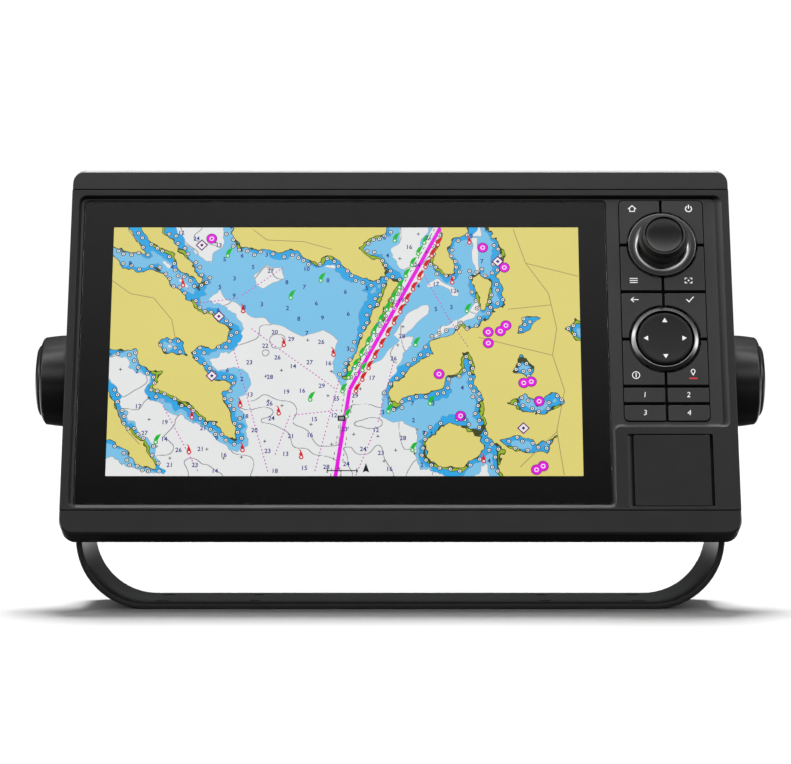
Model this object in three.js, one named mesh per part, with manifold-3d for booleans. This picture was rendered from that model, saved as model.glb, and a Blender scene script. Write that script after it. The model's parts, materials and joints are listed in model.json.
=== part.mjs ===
// Marine chartplotter display on a tilting U bracket. Millimetres, +Z up, origin on the
// underside of the bracket's base, straight below the tilt axis.
// The display is built upright round its own origin on the tilt axis (x to the right seen
// from the front, y away from the viewer, z up the face) and is then leaned back.
import * as THREE from 'three';
import { mergeVertices } from 'three/addons/utils/BufferGeometryUtils.js';
import Module from 'manifold-3d';

const wasm = await Module();
wasm.setup();

// ---- Driving dimensions ---------------------------------------------------------------
const GAP = 0.3; // clearance kept between touching pieces
const PIVOT_HEIGHT = 113;
const LEAN_DEG = 20;
const THROUGH = { front: -50, back: 0, rear: 40 }; // reach of cutting tools past what they cut

const BODY = { half: 166, bottom: -91.7, top: 101.3, front: -36, back: -21.5, corner: 7 };
const SEAM = { bottom: -79.7, top: 89.9 }; // where the snap-on trim caps start
const CAP_SHELF = { front: -28.3, wall: 2.3 }; // bezel tongue under each trim cap
const RECESS = { half: 162.2, bottom: -78.4, top: 86.6, floor: -34, corner: 4 };
const PEDESTAL = { left: 105.5, top: -36.8, corner: 3 }; // raised block that holds the card door
const PLATE_BACK = -29.5; // rear face of the bezel's recessed plate
const HOLLOW = { left: -148, right: 107, bottom: -76, top: 84, corner: 3 }; // behind the plate
const CARD_HOLLOW_RIGHT = 148; // the hollow's reach behind the card bay
const KEYPAD_HOLLOW = { left: 106, right: 156, bottom: -37, top: 86.5, corner: 2, back: -24.5 };

const GLASS = { left: -159.4, right: 103.5, bottom: -76.1, top: 84.5, front: -34.2, back: -32.4 };
const SEAL = { front: -32.1, back: -31.5, ledge: -31.2, width: 8, widthLeft: 12 };
const SCREEN = { left: -144.5, right: 89.7, bottom: -62, top: 69.4, border: 2.5, back: -30 };
const BACKLIGHT = { left: -145.5, right: 100, bottom: -72.5, top: 81, corner: 2, back: -17 };

const KEYS = {
  left: 110.5, middle: 131.45, right: 152.5, gap: 1.3, front: -34.6, back: -30, corner: 2.4,
  rows: [84.4, 60.1, 34.9, 9.6, -15.3, -24.4, -33.4],
};
const SHEET = { left: 107.5, right: 155, bottom: -36, top: 86 }; // membrane and board
const MEMBRANE = { front: -29.1, back: -27.9, corner: 2, hole: 6 };
const KEYPAD_BOARD = { front: -27.6, back: -26, corner: 1, knobHole: 5.2, padHole: 3 };
const DIAL = { x: 131.6, knobZ: 60.2, padZ: 9.7, clear: 17.6, ring: 17, ringBack: -30 };
const KNOB = { radius: 12.4, front: -48.3, back: -33.2, capRadius: 9.2, capFront: -47.6, boreEnd: -44.2 };
const PAD = { radius: 13.7, front: -36.2, back: -31, pivot: -29.5, carrier: 4.5 };
const SHAFT = { radius: 3, front: -43, back: -20.5 };
const ENCODER = { half: 6.5, front: -25.7, back: -18.5, bushing: 4.6, bushingFront: -31 };

const DOOR = { left: 114.4, right: 151.9, bottom: -77.7, top: -41.1, front: -36, back: -33.4 };
const BAY = { left: 111.4, right: 153.4, bottom: -77.9, top: -40.8, floor: -31.3, corner: 1.2 };
const SCOOP_DEPTH = 1.8; // finger scoop beside the door
const CARD_MOUTH = { left: 117, right: 146, bottom: -74, top: -45, corner: 1 };
const CARD_READER = { front: -31, back: -20, slotLeft: 124, slotRight: 136, slotBack: -23, slotHalf: 0.6 };
const CARD_SLOTS = [-54, -65];
const DOOR_SEAL = { left: 115, right: 148, bottom: -76, top: -42.6, front: -33, corner: 2, width: 1.6 };
const HINGE_PIN = { radius: 0.7, tail: 1.6 };

const HOUSING = {
  flangeHalf: 155, flangeBottom: -86, flangeTop: 95, flangeFront: -19.9, flangeBack: -16,
  half: 150, bottom: -77, top: 86, back: 21, corner: 10, wall: 3, bevel: 5,
  flangeCorner: 8, cavityBack: 8.5, upperCavityBack: 14.5, upperCavityBottom: -16,
};
const GASKET = {
  half: 153.5, bottom: -84.5, top: 93.5, corner: 7,
  innerHalf: 149.5, innerBottom: -77.5, innerTop: 85, innerCorner: 5,
};
const SEAT = { half: 155.6, bottom: -86.6, top: 95.6, corner: 8, depth: 0.3 }; // gasket seat in the bezel
const MAIN_BOARD = { half: 130, front: -8, back: -6.4, bottom: -66, top: 76 };
const ANTENNA = { left: -20, right: 5, front: -6.1, back: -1.1, bottom: 48, top: 73 };
const VENT = { x: 88, stem: 4, head: 6, front: 7, headHeight: 2.4 };
const SOCKET_BAY = { left: -112, right: 104, bottom: -66, top: -22, floor: 11.5, corner: 6 };
const SOCKET = {
  z: -44, flange: 11, flangeHeight: 1.6, radius: 9.5, bore: 7.8, boreFloor: 13.6, back: 20.6,
  stem: 7, stemFront: 4, pitch: 29, middle: -9,
};
const FINS = { half: 110, bottom: -8, top: 72, pitch: 11, groove: 5, depth: 4 };
const SCREW = {
  head: 2.9, headHeight: 2.2, shank: 1.5, tip: -25.5, top: 90, bottom: -81.5, pitch: 120,
  driveHalf: 1.9, driveWidth: 0.8, driveFloor: 1.2,
};

const ARM = { outer: 160.8, thick: 3, bend: 35, halfDepth: 34.5, taperFrom: 40, topRadius: 20.5 };
const BASE_HOLES = { slotX: 119, slotLength: 7.5, slotRadius: 2.6, roundX: 72.6, roundRadius: 3 };
const HOLE_ROWS = [-17.9, 20.5];
const BORE = { inner: 100, outer: 200 }; // reach of the tools that drill along the tilt axis
const STUD = { radius: 4, inner: 142, outer: 173.5 };
const BOSS = { radius: 15, face: 155.5, innerRadius: 11, innerEnd: 138 };
const WASHER = { inner: 155.8, outer: 157.5 };
const INSERT = { radius: 6.5, inner: 141 };
const CLAMP = { hub: 14, hubInner: 161.1, rimInner: 166.8, rim: 23.2, rimOuter: 22.1, face: 183.8 };

// ---- Solid helpers --------------------------------------------------------------------
const radians = (degrees) => (degrees * Math.PI) / 180;

// A closed manifold from any closed three.js geometry, with its faces pointing out.
function solid(geometry) {
  const bare = geometry.clone();
  bare.deleteAttribute('normal');
  bare.deleteAttribute('uv');
  const merged = mergeVertices(bare, 1e-4);
  const points = merged.attributes.position.array;
  const kept = [];
  for (let i = 0; i < merged.index.count; i += 3) {
    const [a, b, c] = [0, 1, 2].map((k) => merged.index.getX(i + k));
    if (a !== b && b !== c && c !== a) kept.push(a, b, c);
  }
  if (signedVolume(points, kept) < 0) kept.reverse();
  return new wasm.Manifold(new wasm.Mesh({
    numProp: 3, vertProperties: points, triVerts: new Uint32Array(kept),
  }));
}

function signedVolume(points, triangles) {
  const corner = (n) => new THREE.Vector3().fromArray(points, 3 * n);
  let total = 0;
  for (let i = 0; i < triangles.length; i += 3) {
    const [a, b, c] = [0, 1, 2].map((k) => corner(triangles[i + k]));
    total += a.dot(b.cross(c)) / 6;
  }
  return total;
}

function box(x0, x1, y0, y1, z0, z1) {
  const geometry = new THREE.BoxGeometry(x1 - x0, y1 - y0, z1 - z0);
  return solid(geometry.translate((x0 + x1) / 2, (y0 + y1) / 2, (z0 + z1) / 2));
}

// A rounded rectangle in the plane of the face; corners is one radius, or one per corner
// in the order lower left, lower right, upper right, upper left.
function outline(left, right, bottom, top, corners) {
  const [a, b, c, d] = Array.isArray(corners) ? corners : [corners, corners, corners, corners];
  const shape = new THREE.Shape();
  shape.moveTo(left + a, bottom);
  shape.lineTo(right - b, bottom);
  if (b > 0) shape.absarc(right - b, bottom + b, b, -Math.PI / 2, 0);
  shape.lineTo(right, top - c);
  if (c > 0) shape.absarc(right - c, top - c, c, 0, Math.PI / 2);
  shape.lineTo(left + d, top);
  if (d > 0) shape.absarc(left + d, top - d, d, Math.PI / 2, Math.PI);
  shape.lineTo(left, bottom + a);
  if (a > 0) shape.absarc(left + a, bottom + a, a, Math.PI, 1.5 * Math.PI);
  return shape;
}

// A face-plane outline given depth from y = front to y = back, its edges bevelled if asked.
function plate(shape, front, back, bevel = 0) {
  const geometry = new THREE.ExtrudeGeometry(shape, {
    depth: back - front - 2 * bevel, curveSegments: 2, bevelEnabled: bevel > 0,
    bevelThickness: bevel, bevelSize: bevel, bevelOffset: -bevel, bevelSegments: 2,
  });
  return solid(geometry.rotateX(Math.PI / 2).translate(0, back - bevel, 0));
}

const slab = (left, right, bottom, top, corner, front, back) =>
  plate(outline(left, right, bottom, top, corner), front, back);

// A cylinder along y through (x, z).
function rodY(radius, y0, y1, x = 0, z = 0, sides = 24) {
  const geometry = new THREE.CylinderGeometry(radius, radius, y1 - y0, sides);
  return solid(geometry.translate(x, (y0 + y1) / 2, z));
}

// A cylinder along x through (y, z) = (0, 0).
function rodX(radius, x0, x1, sides = 24) {
  const geometry = new THREE.CylinderGeometry(radius, radius, Math.abs(x1 - x0), sides);
  return solid(geometry.rotateZ(Math.PI / 2).translate((x0 + x1) / 2, 0, 0));
}

// A cylinder along z through (x, y).
function rodZ(radius, z0, z1, x, y, sides = 12) {
  const geometry = new THREE.CylinderGeometry(radius, radius, z1 - z0, sides);
  return solid(geometry.rotateX(Math.PI / 2).translate(x, y, (z0 + z1) / 2));
}

// A body of revolution about y through (x, z); the profile holds [radius, y] pairs.
function turned(profile, x = 0, z = 0, sides = 28) {
  const points = profile.map(([radius, y]) => new THREE.Vector2(radius, y));
  return solid(new THREE.LatheGeometry(points, sides).translate(x, 0, z));
}

const union = (...solids) => solids.reduce((a, b) => a.add(b));
const cut = (from, ...tools) => tools.reduce((a, b) => a.subtract(b), from);

function geometryOf(shape) {
  const mesh = shape.getMesh();
  const geometry = new THREE.BufferGeometry();
  geometry.setAttribute('position', new THREE.BufferAttribute(mesh.vertProperties, 3));
  geometry.setIndex(new THREE.BufferAttribute(mesh.triVerts, 1));
  geometry.computeVertexNormals();
  return geometry;
}

// ---- Finishes -------------------------------------------------------------------------
const FINISH = {
  bezel: { color: 0x2a2a2a, roughness: 0.55, metalness: 0 },
  trim: { color: 0x323232, roughness: 0.5, metalness: 0 },
  key: { color: 0x333333, roughness: 0.5, metalness: 0 },
  gloss: { color: 0x17181a, roughness: 0.12, metalness: 0.6 },
  glass: { color: 0x0c0d0e, roughness: 0.05, metalness: 0 },
  screen: { color: 0x63b5e8, roughness: 0.2, metalness: 0 },
  rubber: { color: 0x0d0d0d, roughness: 0.85, metalness: 0 },
  board: { color: 0x1c4a2b, roughness: 0.5, metalness: 0 },
  steel: { color: 0xb8babd, roughness: 0.3, metalness: 1 },
  brass: { color: 0xb08d4a, roughness: 0.35, metalness: 1 },
  housing: { color: 0x1d1e20, roughness: 0.6, metalness: 0.3 },
  bracket: { color: 0x26282a, roughness: 0.55, metalness: 0.2 },
  ceramic: { color: 0xcfc9b8, roughness: 0.6, metalness: 0 },
};

function piece(group, name, finish, shape) {
  const mesh = new THREE.Mesh(geometryOf(shape), new THREE.MeshStandardMaterial(FINISH[finish]));
  mesh.name = name;
  group.add(mesh);
}

// ---- Front shell ----------------------------------------------------------------------
// The front plane is recessed over the glass and the keypad; a pedestal at the lower right
// stays at the level of the rim round the recess.
function recess() {
  const { half, bottom, top, floor, corner } = RECESS;
  const whole = slab(-half, half, bottom, top, corner, BODY.front - 1, floor);
  const pedestal = slab(PEDESTAL.left, half + 5, bottom - 5, PEDESTAL.top,
    [0, 0, 0, PEDESTAL.corner], THROUGH.front, THROUGH.back);
  return cut(whole, pedestal);
}

function glassOpening(grow) {
  return outline(GLASS.left - grow, GLASS.right + grow, GLASS.bottom - grow, GLASS.top + grow, 1.8);
}

// The glass outline moved in by the two widths, for what lies behind the glass.
function glassWindow(fromLeft, fromRest, corner) {
  return outline(GLASS.left - fromLeft, GLASS.right + fromRest, GLASS.bottom - fromRest,
    GLASS.top + fromRest, corner);
}

function scoop() {
  const wedge = new THREE.Shape([
    new THREE.Vector2(BAY.left, BODY.front - 0.01), new THREE.Vector2(DOOR.left, BODY.front - 0.01),
    new THREE.Vector2(DOOR.left, BODY.front + SCOOP_DEPTH),
  ]);
  const height = BAY.top - BAY.bottom;
  const geometry = new THREE.ExtrudeGeometry(wedge, { depth: height, bevelEnabled: false });
  return solid(geometry.translate(0, 0, BAY.bottom));
}

function frontBezel() {
  const { half, bottom, top, front, back, corner } = BODY;
  const face = slab(-half, half, SEAM.bottom, SEAM.top, 0, front, back);
  const tongue = slab(-half, half, bottom + CAP_SHELF.wall + GAP, top - CAP_SHELF.wall - GAP,
    corner - 2, CAP_SHELF.front + GAP, back);
  const opening = glassWindow(-SEAL.widthLeft, -SEAL.width, 2);
  const { top: hollowTop, bottom: hollowBottom } = HOLLOW;
  const shell = cut(
    union(face, tongue),
    recess(),
    plate(glassOpening(GAP), THROUGH.front, SEAL.ledge),
    plate(opening, THROUGH.front, THROUGH.back),
    slab(HOLLOW.left, HOLLOW.right, hollowBottom, hollowTop, HOLLOW.corner, PLATE_BACK, THROUGH.back),
    keypadHollow(),
    slab(KEYPAD_HOLLOW.left, CARD_HOLLOW_RIGHT, hollowBottom, hollowTop, HOLLOW.corner,
      PLATE_BACK, THROUGH.back),
    slab(-SEAT.half, SEAT.half, SEAT.bottom, SEAT.top, SEAT.corner, BODY.back - SEAT.depth, THROUGH.back),
    slab(KEYS.left - GAP, KEYS.right + GAP, KEYS.rows.at(-1) - GAP, KEYS.rows[0] + GAP, KEYS.corner,
      THROUGH.front, THROUGH.back),
    slab(DOOR.left - GAP, BAY.right, BAY.bottom, BAY.top, BAY.corner, THROUGH.front, BAY.floor),
    scoop(),
    cardMouth(0),
    rodZ(HINGE_PIN.radius + 0.1, BAY.bottom - HINGE_PIN.tail - GAP, BAY.top + HINGE_PIN.tail + GAP,
      hingeX(), hingeY()),
  );
  return screwPlaces().reduce(
    (body, [x, z]) => cut(body, rodY(SCREW.shank + GAP, SCREW.tip - GAP, 0, x, z, 8)), shell);
}

function keypadHollow() {
  const { left, right, bottom, top, corner, back } = KEYPAD_HOLLOW;
  return slab(left, right, bottom, top, corner, PLATE_BACK, back);
}

// A trim cap wraps the upper or lower edge of the bezel: a front wall and an outer wall.
function trimCap(isTop) {
  const { half, bottom, top, front, back, corner } = BODY;
  const whole = slab(-half, half, bottom, top, corner, front, back);
  const keep = isTop
    ? box(-half - 1, half + 1, front - 1, back + 1, SEAM.top + GAP, top + 1)
    : box(-half - 1, half + 1, front - 1, back + 1, bottom - 1, SEAM.bottom - GAP);
  const hollow = slab(-half - 1, half + 1, bottom + CAP_SHELF.wall, top - CAP_SHELF.wall, 0,
    CAP_SHELF.front, back + 1);
  return cut(whole.intersect(keep), hollow);
}

// ---- Glass and screen -----------------------------------------------------------------
const displayGlass = () => plate(glassOpening(0), GLASS.front, GLASS.back);

function glassSeal() {
  const inner = plate(glassWindow(-SEAL.widthLeft, -SEAL.width, 1), THROUGH.front, THROUGH.back);
  return cut(plate(glassOpening(-1), SEAL.front, SEAL.back), inner);
}

function lcdPanel() {
  const { left, right, bottom, top, border, back } = SCREEN;
  return box(left - border, right + border, SEAL.front, back, bottom - border, top + border);
}

function lcdBacklight() {
  const { left, right, bottom, top, corner, back } = BACKLIGHT;
  return slab(left, right, bottom, top, corner, PLATE_BACK + GAP, back);
}

// ---- Keypad ---------------------------------------------------------------------------
// Twelve key caps in two columns and six rows. The first four rows are cut round the knob
// and the direction pad.
const KEY_NAMES = [
  ['key_home', 'key_power'], ['key_menu', 'key_focus'], ['key_back', 'key_select'],
  ['key_info', 'key_mark'], ['key_one', 'key_two'], ['key_three', 'key_four'],
];

function keyCap(row, column) {
  const inset = KEYS.gap / 2;
  const left = column === 0 ? KEYS.left : KEYS.middle + inset;
  const right = column === 0 ? KEYS.middle - inset : KEYS.right;
  const top = KEYS.rows[row] - (row === 0 ? 0 : inset);
  const bottom = KEYS.rows[row + 1] + (row === 5 ? 0 : inset);
  const corners = [0.6, 0.6, 0.6, 0.6];
  if (row === 0) corners[column === 0 ? 3 : 2] = KEYS.corner;
  if (row === 5) corners[column === 0 ? 0 : 1] = KEYS.corner;
  const cap = slab(left, right, bottom, top, corners, KEYS.front, KEYS.back);
  const around = (z) => rodY(DIAL.clear, THROUGH.front, THROUGH.back, DIAL.x, z, 40);
  return row > 3 ? cap : cut(cap, around(row < 2 ? DIAL.knobZ : DIAL.padZ));
}

// A sheet behind the keys, with a hole for the knob and one for the pad.
function keypadSheet({ front, back, corner }, knobHole, padHole) {
  const hole = (radius, z) => rodY(radius, THROUGH.front, THROUGH.back, DIAL.x, z);
  const sheet = slab(SHEET.left, SHEET.right, SHEET.bottom, SHEET.top, corner, front, back);
  return cut(sheet, hole(knobHole, DIAL.knobZ), hole(padHole, DIAL.padZ));
}

const keypadMembrane = () => keypadSheet(MEMBRANE, MEMBRANE.hole, MEMBRANE.hole);

const keypadBoard = () => keypadSheet(KEYPAD_BOARD, KEYPAD_BOARD.knobHole, KEYPAD_BOARD.padHole);

const knobRing = () => turned([
  [12.95, -30.2], [16.4, -30.2], [16.4, -33.8], [17, -34.2], [17, -34.8], [16.4, -35.3], [15.2, -34.6],
  [13.9, -32.9], [12.95, -31.6], [12.95, -30.2],
], DIAL.x, DIAL.knobZ);

const padRing = () => turned([
  [14.45, -30.2], [16.4, -30.2], [16.4, -33.8], [17, -34.2], [17, -34.8], [16.4, -35.6], [15.4, -35.7],
  [14.6, -35], [14.45, -34.4], [14.45, -30.2],
], DIAL.x, DIAL.padZ);

function controlKnob() {
  const { radius, front, back, capRadius } = KNOB;
  const seat = KNOB.capFront + 2.4;
  return turned([
    [SHAFT.radius + GAP, back], [radius, back], [radius - 0.4, front + 2.2], [radius - 1, front + 0.6],
    [radius - 2, front], [capRadius + GAP, front + 0.7], [capRadius + GAP, seat], [0, seat],
    [0, KNOB.boreEnd], [SHAFT.radius + GAP, KNOB.boreEnd], [SHAFT.radius + GAP, back],
  ], DIAL.x, DIAL.knobZ);
}

const knobCap = () => turned([
  [0, KNOB.capFront + 0.9], [5, KNOB.capFront + 0.6], [KNOB.capRadius - 0.8, KNOB.capFront],
  [KNOB.capRadius, KNOB.capFront + 0.3], [KNOB.capRadius, KNOB.capFront + 2.1], [0, KNOB.capFront + 2.1],
], DIAL.x, DIAL.knobZ);

const encoderShaft = () => rodY(SHAFT.radius, SHAFT.front, SHAFT.back, DIAL.x, DIAL.knobZ);

function rotaryEncoder() {
  const [x, z] = [DIAL.x, DIAL.knobZ];
  const { half, front, back, bushing, bushingFront } = ENCODER;
  const can = box(x - half, x + half, front, back, z - half, z + half);
  const neck = rodY(bushing, bushingFront, front + 0.5, x, z);
  return cut(union(can, neck), rodY(SHAFT.radius + 0.2, THROUGH.front, back - 0.9, x, z));
}

const directionPad = () => turned([
  [0, PAD.back], [PAD.radius, PAD.back], [PAD.radius, PAD.front + 0.8], [PAD.radius - 0.8, PAD.front],
  [PAD.radius - 3, PAD.front + 0.5], [0, PAD.front + 0.9],
], DIAL.x, DIAL.padZ);

const padCarrier = () => rodY(PAD.carrier, PAD.back + 0.6, -28.4, DIAL.x, DIAL.padZ, 20);

// ---- Card bay -------------------------------------------------------------------------
const hingeY = () => (DOOR.front + DOOR.back) / 2;
const hingeX = () => DOOR.right - (DOOR.back - DOOR.front) / 2;

// The door's right edge is rounded about its hinge pin, so that it turns in place.
function cardDoor() {
  const { left, bottom, top, front, back } = DOOR;
  const leaf = slab(left, hingeX(), bottom, top, [1, 0, 0, 1], front, back);
  const knuckle = rodZ((back - front) / 2, bottom, top, hingeX(), hingeY(), 24);
  return cut(union(leaf, knuckle), rodZ(HINGE_PIN.radius + 0.2, -BODY.half, BODY.half, hingeX(), hingeY()));
}

const doorHingePin = () =>
  rodZ(HINGE_PIN.radius - 0.2, BAY.bottom - HINGE_PIN.tail, BAY.top + HINGE_PIN.tail, hingeX(), hingeY());

function doorSeal() {
  const { left, right, bottom, top, front, corner, width } = DOOR_SEAL;
  const inner = slab(left + width, right - width, bottom + width, top - width, corner - 1,
    THROUGH.front, THROUGH.back);
  return cut(slab(left, right, bottom, top, corner, front, BAY.floor - GAP), inner);
}

// The opening in the bay's floor, made smaller all round by the given amount.
function cardMouth(shrink, front = THROUGH.front, back = THROUGH.back) {
  const { left, right, bottom, top, corner } = CARD_MOUTH;
  return slab(left + shrink, right - shrink, bottom + shrink, top - shrink, corner, front, back);
}

// A reader block whose two slots open into the bay.
function cardReader() {
  const { front, back, slotLeft, slotRight, slotBack, slotHalf } = CARD_READER;
  const slots = CARD_SLOTS.map(
    (z) => box(slotLeft, slotRight, THROUGH.front, slotBack, z - slotHalf, z + slotHalf));
  return cut(cardMouth(GAP, front, back), ...slots);
}

// ---- Rear housing and what it holds ---------------------------------------------------
const screwPlaces = () => [-1, 0, 1].flatMap(
  (side) => [[side * SCREW.pitch, SCREW.top], [side * SCREW.pitch, SCREW.bottom]]);

const socketPlaces = () => [-3, -2, -1, 0, 1, 2].map((n) => n * SOCKET.pitch + SOCKET.middle);

function pivotBoss(side) {
  const outer = rodX(BOSS.radius, side * (HOUSING.half - 4), side * BOSS.face);
  return union(outer, rodX(BOSS.innerRadius, side * BOSS.innerEnd, side * HOUSING.half));
}

function rearHousing() {
  const { half, bottom, top, back, corner, wall, bevel, flangeFront, flangeBack } = HOUSING;
  const flange = slab(-HOUSING.flangeHalf, HOUSING.flangeHalf, HOUSING.flangeBottom,
    HOUSING.flangeTop, HOUSING.flangeCorner, flangeFront, flangeBack);
  const tub = plate(outline(-half, half, bottom, top, corner), THROUGH.front, back, bevel)
    .subtract(box(-2 * half, 2 * half, THROUGH.front - 1, flangeFront, -2 * half, 2 * half));
  const cavity = (lower, deep) =>
    slab(-half + wall, half - wall, lower, top - wall, corner - wall, THROUGH.front, deep);
  const hollow = cut(
    union(flange, tub),
    cavity(bottom + wall, HOUSING.cavityBack),
    cavity(HOUSING.upperCavityBottom, HOUSING.upperCavityBack),
    slab(SOCKET_BAY.left, SOCKET_BAY.right, SOCKET_BAY.bottom, SOCKET_BAY.top, SOCKET_BAY.corner,
      SOCKET_BAY.floor, THROUGH.rear),
  );
  const finned = finPlaces().reduce((body, x) => cut(body, finGroove(x)), hollow);
  const bossed = union(finned, pivotBoss(-1), pivotBoss(1));
  const inserts = [-1, 1].map(
    (side) => rodX(INSERT.radius + GAP, side * (INSERT.inner - GAP), side * BODY.half));
  const holes = socketPlaces().map((x) => rodY(SOCKET.stem + 0.5, 0, THROUGH.rear, x, SOCKET.z, 12));
  const screws = screwPlaces().map(([x, z]) => rodY(SCREW.shank + GAP, THROUGH.front, 0, x, z, 8));
  const ventHole = rodY(VENT.stem + GAP, 0, THROUGH.rear, VENT.x, SOCKET.z, 20);
  return cut(bossed, ...inserts, ...holes, ...screws, ventHole);
}

const finPlaces = () => {
  const count = Math.floor((2 * FINS.half) / FINS.pitch) + 1;
  return Array.from({ length: count }, (_, n) => -FINS.half + n * FINS.pitch);
};

const finGroove = (x) => box(x - FINS.groove / 2, x + FINS.groove / 2,
  HOUSING.back - FINS.depth, HOUSING.back + 5, FINS.bottom, FINS.top);

function housingGasket() {
  const { half, bottom, top, corner, innerHalf, innerBottom, innerTop, innerCorner } = GASKET;
  const ring = cut(
    slab(-half, half, bottom, top, corner, BODY.back, HOUSING.flangeFront - GAP),
    slab(-innerHalf, innerHalf, innerBottom, innerTop, innerCorner, THROUGH.front, THROUGH.back),
  );
  return screwPlaces().reduce(
    (body, [x, z]) => cut(body, rodY(SCREW.shank + 2 * GAP, THROUGH.front, 0, x, z, 8)), ring);
}

function housingScrew([x, z]) {
  const seat = HOUSING.flangeBack + GAP;
  const head = rodY(SCREW.head, seat, seat + SCREW.headHeight, x, z, 12);
  const shank = rodY(SCREW.shank, SCREW.tip, seat + 0.5, x, z, 8);
  const { driveHalf, driveWidth, driveFloor } = SCREW;
  const drive = box(x - driveHalf, x + driveHalf, seat + driveFloor, seat + 2 * SCREW.headHeight,
    z - driveWidth / 2, z + driveWidth / 2);
  return cut(union(head, shank), drive);
}

function mainBoard() {
  const { half, front, back, bottom, top } = MAIN_BOARD;
  return box(-half, half, front, back, bottom, top);
}

function gpsAntenna() {
  const { left, right, front, back, bottom, top } = ANTENNA;
  return box(left, right, front, back, bottom, top);
}

// A cable socket: a threaded collar outside the housing and a stem through its wall.
function cableSocket(x) {
  const floor = SOCKET_BAY.floor + GAP;
  const collar = union(
    rodY(SOCKET.flange, floor, floor + SOCKET.flangeHeight, x, SOCKET.z, 6),
    rodY(SOCKET.radius, floor, SOCKET.back, x, SOCKET.z, 20),
    rodY(SOCKET.stem, SOCKET.stemFront, floor + 1, x, SOCKET.z, 12),
  );
  return cut(collar, rodY(SOCKET.bore, SOCKET.boreFloor, THROUGH.rear, x, SOCKET.z, 20));
}

function ventPlug() {
  const floor = SOCKET_BAY.floor + GAP;
  return union(rodY(VENT.head, floor, floor + VENT.headHeight, VENT.x, SOCKET.z),
    rodY(VENT.stem, VENT.front, floor + 1, VENT.x, SOCKET.z, 20));
}

const pivotInsert = (side) => cut(
  rodX(INSERT.radius, side * INSERT.inner, side * (BOSS.face - 0.1)),
  rodX(STUD.radius + GAP, side * BORE.inner, side * BORE.outer, 16),
);

// ---- Bracket and clamp knobs ----------------------------------------------------------
function bracketStrip() {
  const { outer, thick, bend, halfDepth, topRadius } = ARM;
  const armTop = PIVOT_HEIGHT + topRadius;
  const inner = outer - thick;
  const strip = new THREE.Shape();
  strip.moveTo(-outer, armTop);
  strip.lineTo(-outer, bend);
  strip.absarc(-outer + bend, bend, bend, Math.PI, 1.5 * Math.PI);
  strip.lineTo(outer - bend, 0);
  strip.absarc(outer - bend, bend, bend, -Math.PI / 2, 0);
  strip.lineTo(outer, armTop);
  strip.lineTo(inner, armTop);
  strip.lineTo(inner, bend);
  strip.absarc(outer - bend, bend, bend - thick, 0, -Math.PI / 2, true);
  strip.lineTo(-outer + bend, thick);
  strip.absarc(-outer + bend, bend, bend - thick, 1.5 * Math.PI, Math.PI, true);
  strip.lineTo(-inner, armTop);
  strip.closePath();
  const geometry = new THREE.ExtrudeGeometry(strip, {
    depth: 2 * halfDepth, curveSegments: 5, bevelEnabled: false,
  });
  return solid(geometry.rotateX(Math.PI / 2).translate(0, halfDepth, 0));
}

// Seen from the side each arm narrows from the base's full depth to a round end.
function armSideProfile() {
  const { halfDepth, taperFrom, topRadius } = ARM;
  const side = new THREE.Shape();
  side.moveTo(-halfDepth, -1);
  side.lineTo(halfDepth, -1);
  side.lineTo(halfDepth, taperFrom);
  side.lineTo(topRadius, PIVOT_HEIGHT);
  side.absarc(0, PIVOT_HEIGHT, topRadius, 0, Math.PI);
  side.lineTo(-halfDepth, taperFrom);
  side.closePath();
  const geometry = new THREE.ExtrudeGeometry(side, {
    depth: 400, curveSegments: 8, bevelEnabled: false,
  });
  return solid(geometry.translate(0, 0, -200).rotateX(Math.PI / 2).rotateZ(Math.PI / 2));
}

function baseSlot(x, y) {
  const reach = BASE_HOLES.slotLength / 2 - BASE_HOLES.slotRadius;
  const r = BASE_HOLES.slotRadius;
  return union(rodZ(r, -5, 10, x - reach, y), rodZ(r, -5, 10, x + reach, y),
    box(x - reach, x + reach, y - r, y + r, -5, 10));
}

function mountingBracket() {
  const places = [-1, 1].flatMap((side) => HOLE_ROWS.map((y) => [side, y]));
  const slots = places.map(([side, y]) => baseSlot(side * BASE_HOLES.slotX, y));
  const holes = places.map(([side, y]) => rodZ(BASE_HOLES.roundRadius, -5, 10, side * BASE_HOLES.roundX, y));
  const pivot = rodX(STUD.radius + 2 * GAP, -BORE.outer, BORE.outer, 16).translate([0, 0, PIVOT_HEIGHT]);
  return cut(bracketStrip().intersect(armSideProfile()), ...slots, ...holes, pivot);
}

const frictionWasher = (side) => cut(
  rodX(BOSS.radius, side * WASHER.inner, side * WASHER.outer),
  rodX(STUD.radius + 1, side * BORE.inner, side * BORE.outer, 16),
).translate([0, 0, PIVOT_HEIGHT]);

function clampKnob(side) {
  const { hub, hubInner, rimInner, rim, rimOuter, face } = CLAMP;
  const profile = [
    [0, hubInner], [hub, hubInner], [hub, rimInner], [rim, rimInner], [rimOuter, face - 4.6],
    [rimOuter - 2.5, face - 3], [18.2, face - 2.6], [17.4, face - 1.2], [9, face - 0.2], [0, face],
  ];
  const geometry = new THREE.LatheGeometry(profile.map(([r, x]) => new THREE.Vector2(r, x)), 30);
  const grip = solid(geometry.rotateZ(-side * Math.PI / 2));
  const bore = rodX(STUD.radius + GAP, side * (hubInner - 5), side * (STUD.outer + GAP), 16);
  return cut(grip, bore);
}

const knobStud = (side) => rodX(STUD.radius, side * STUD.inner, side * STUD.outer, 16);

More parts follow.
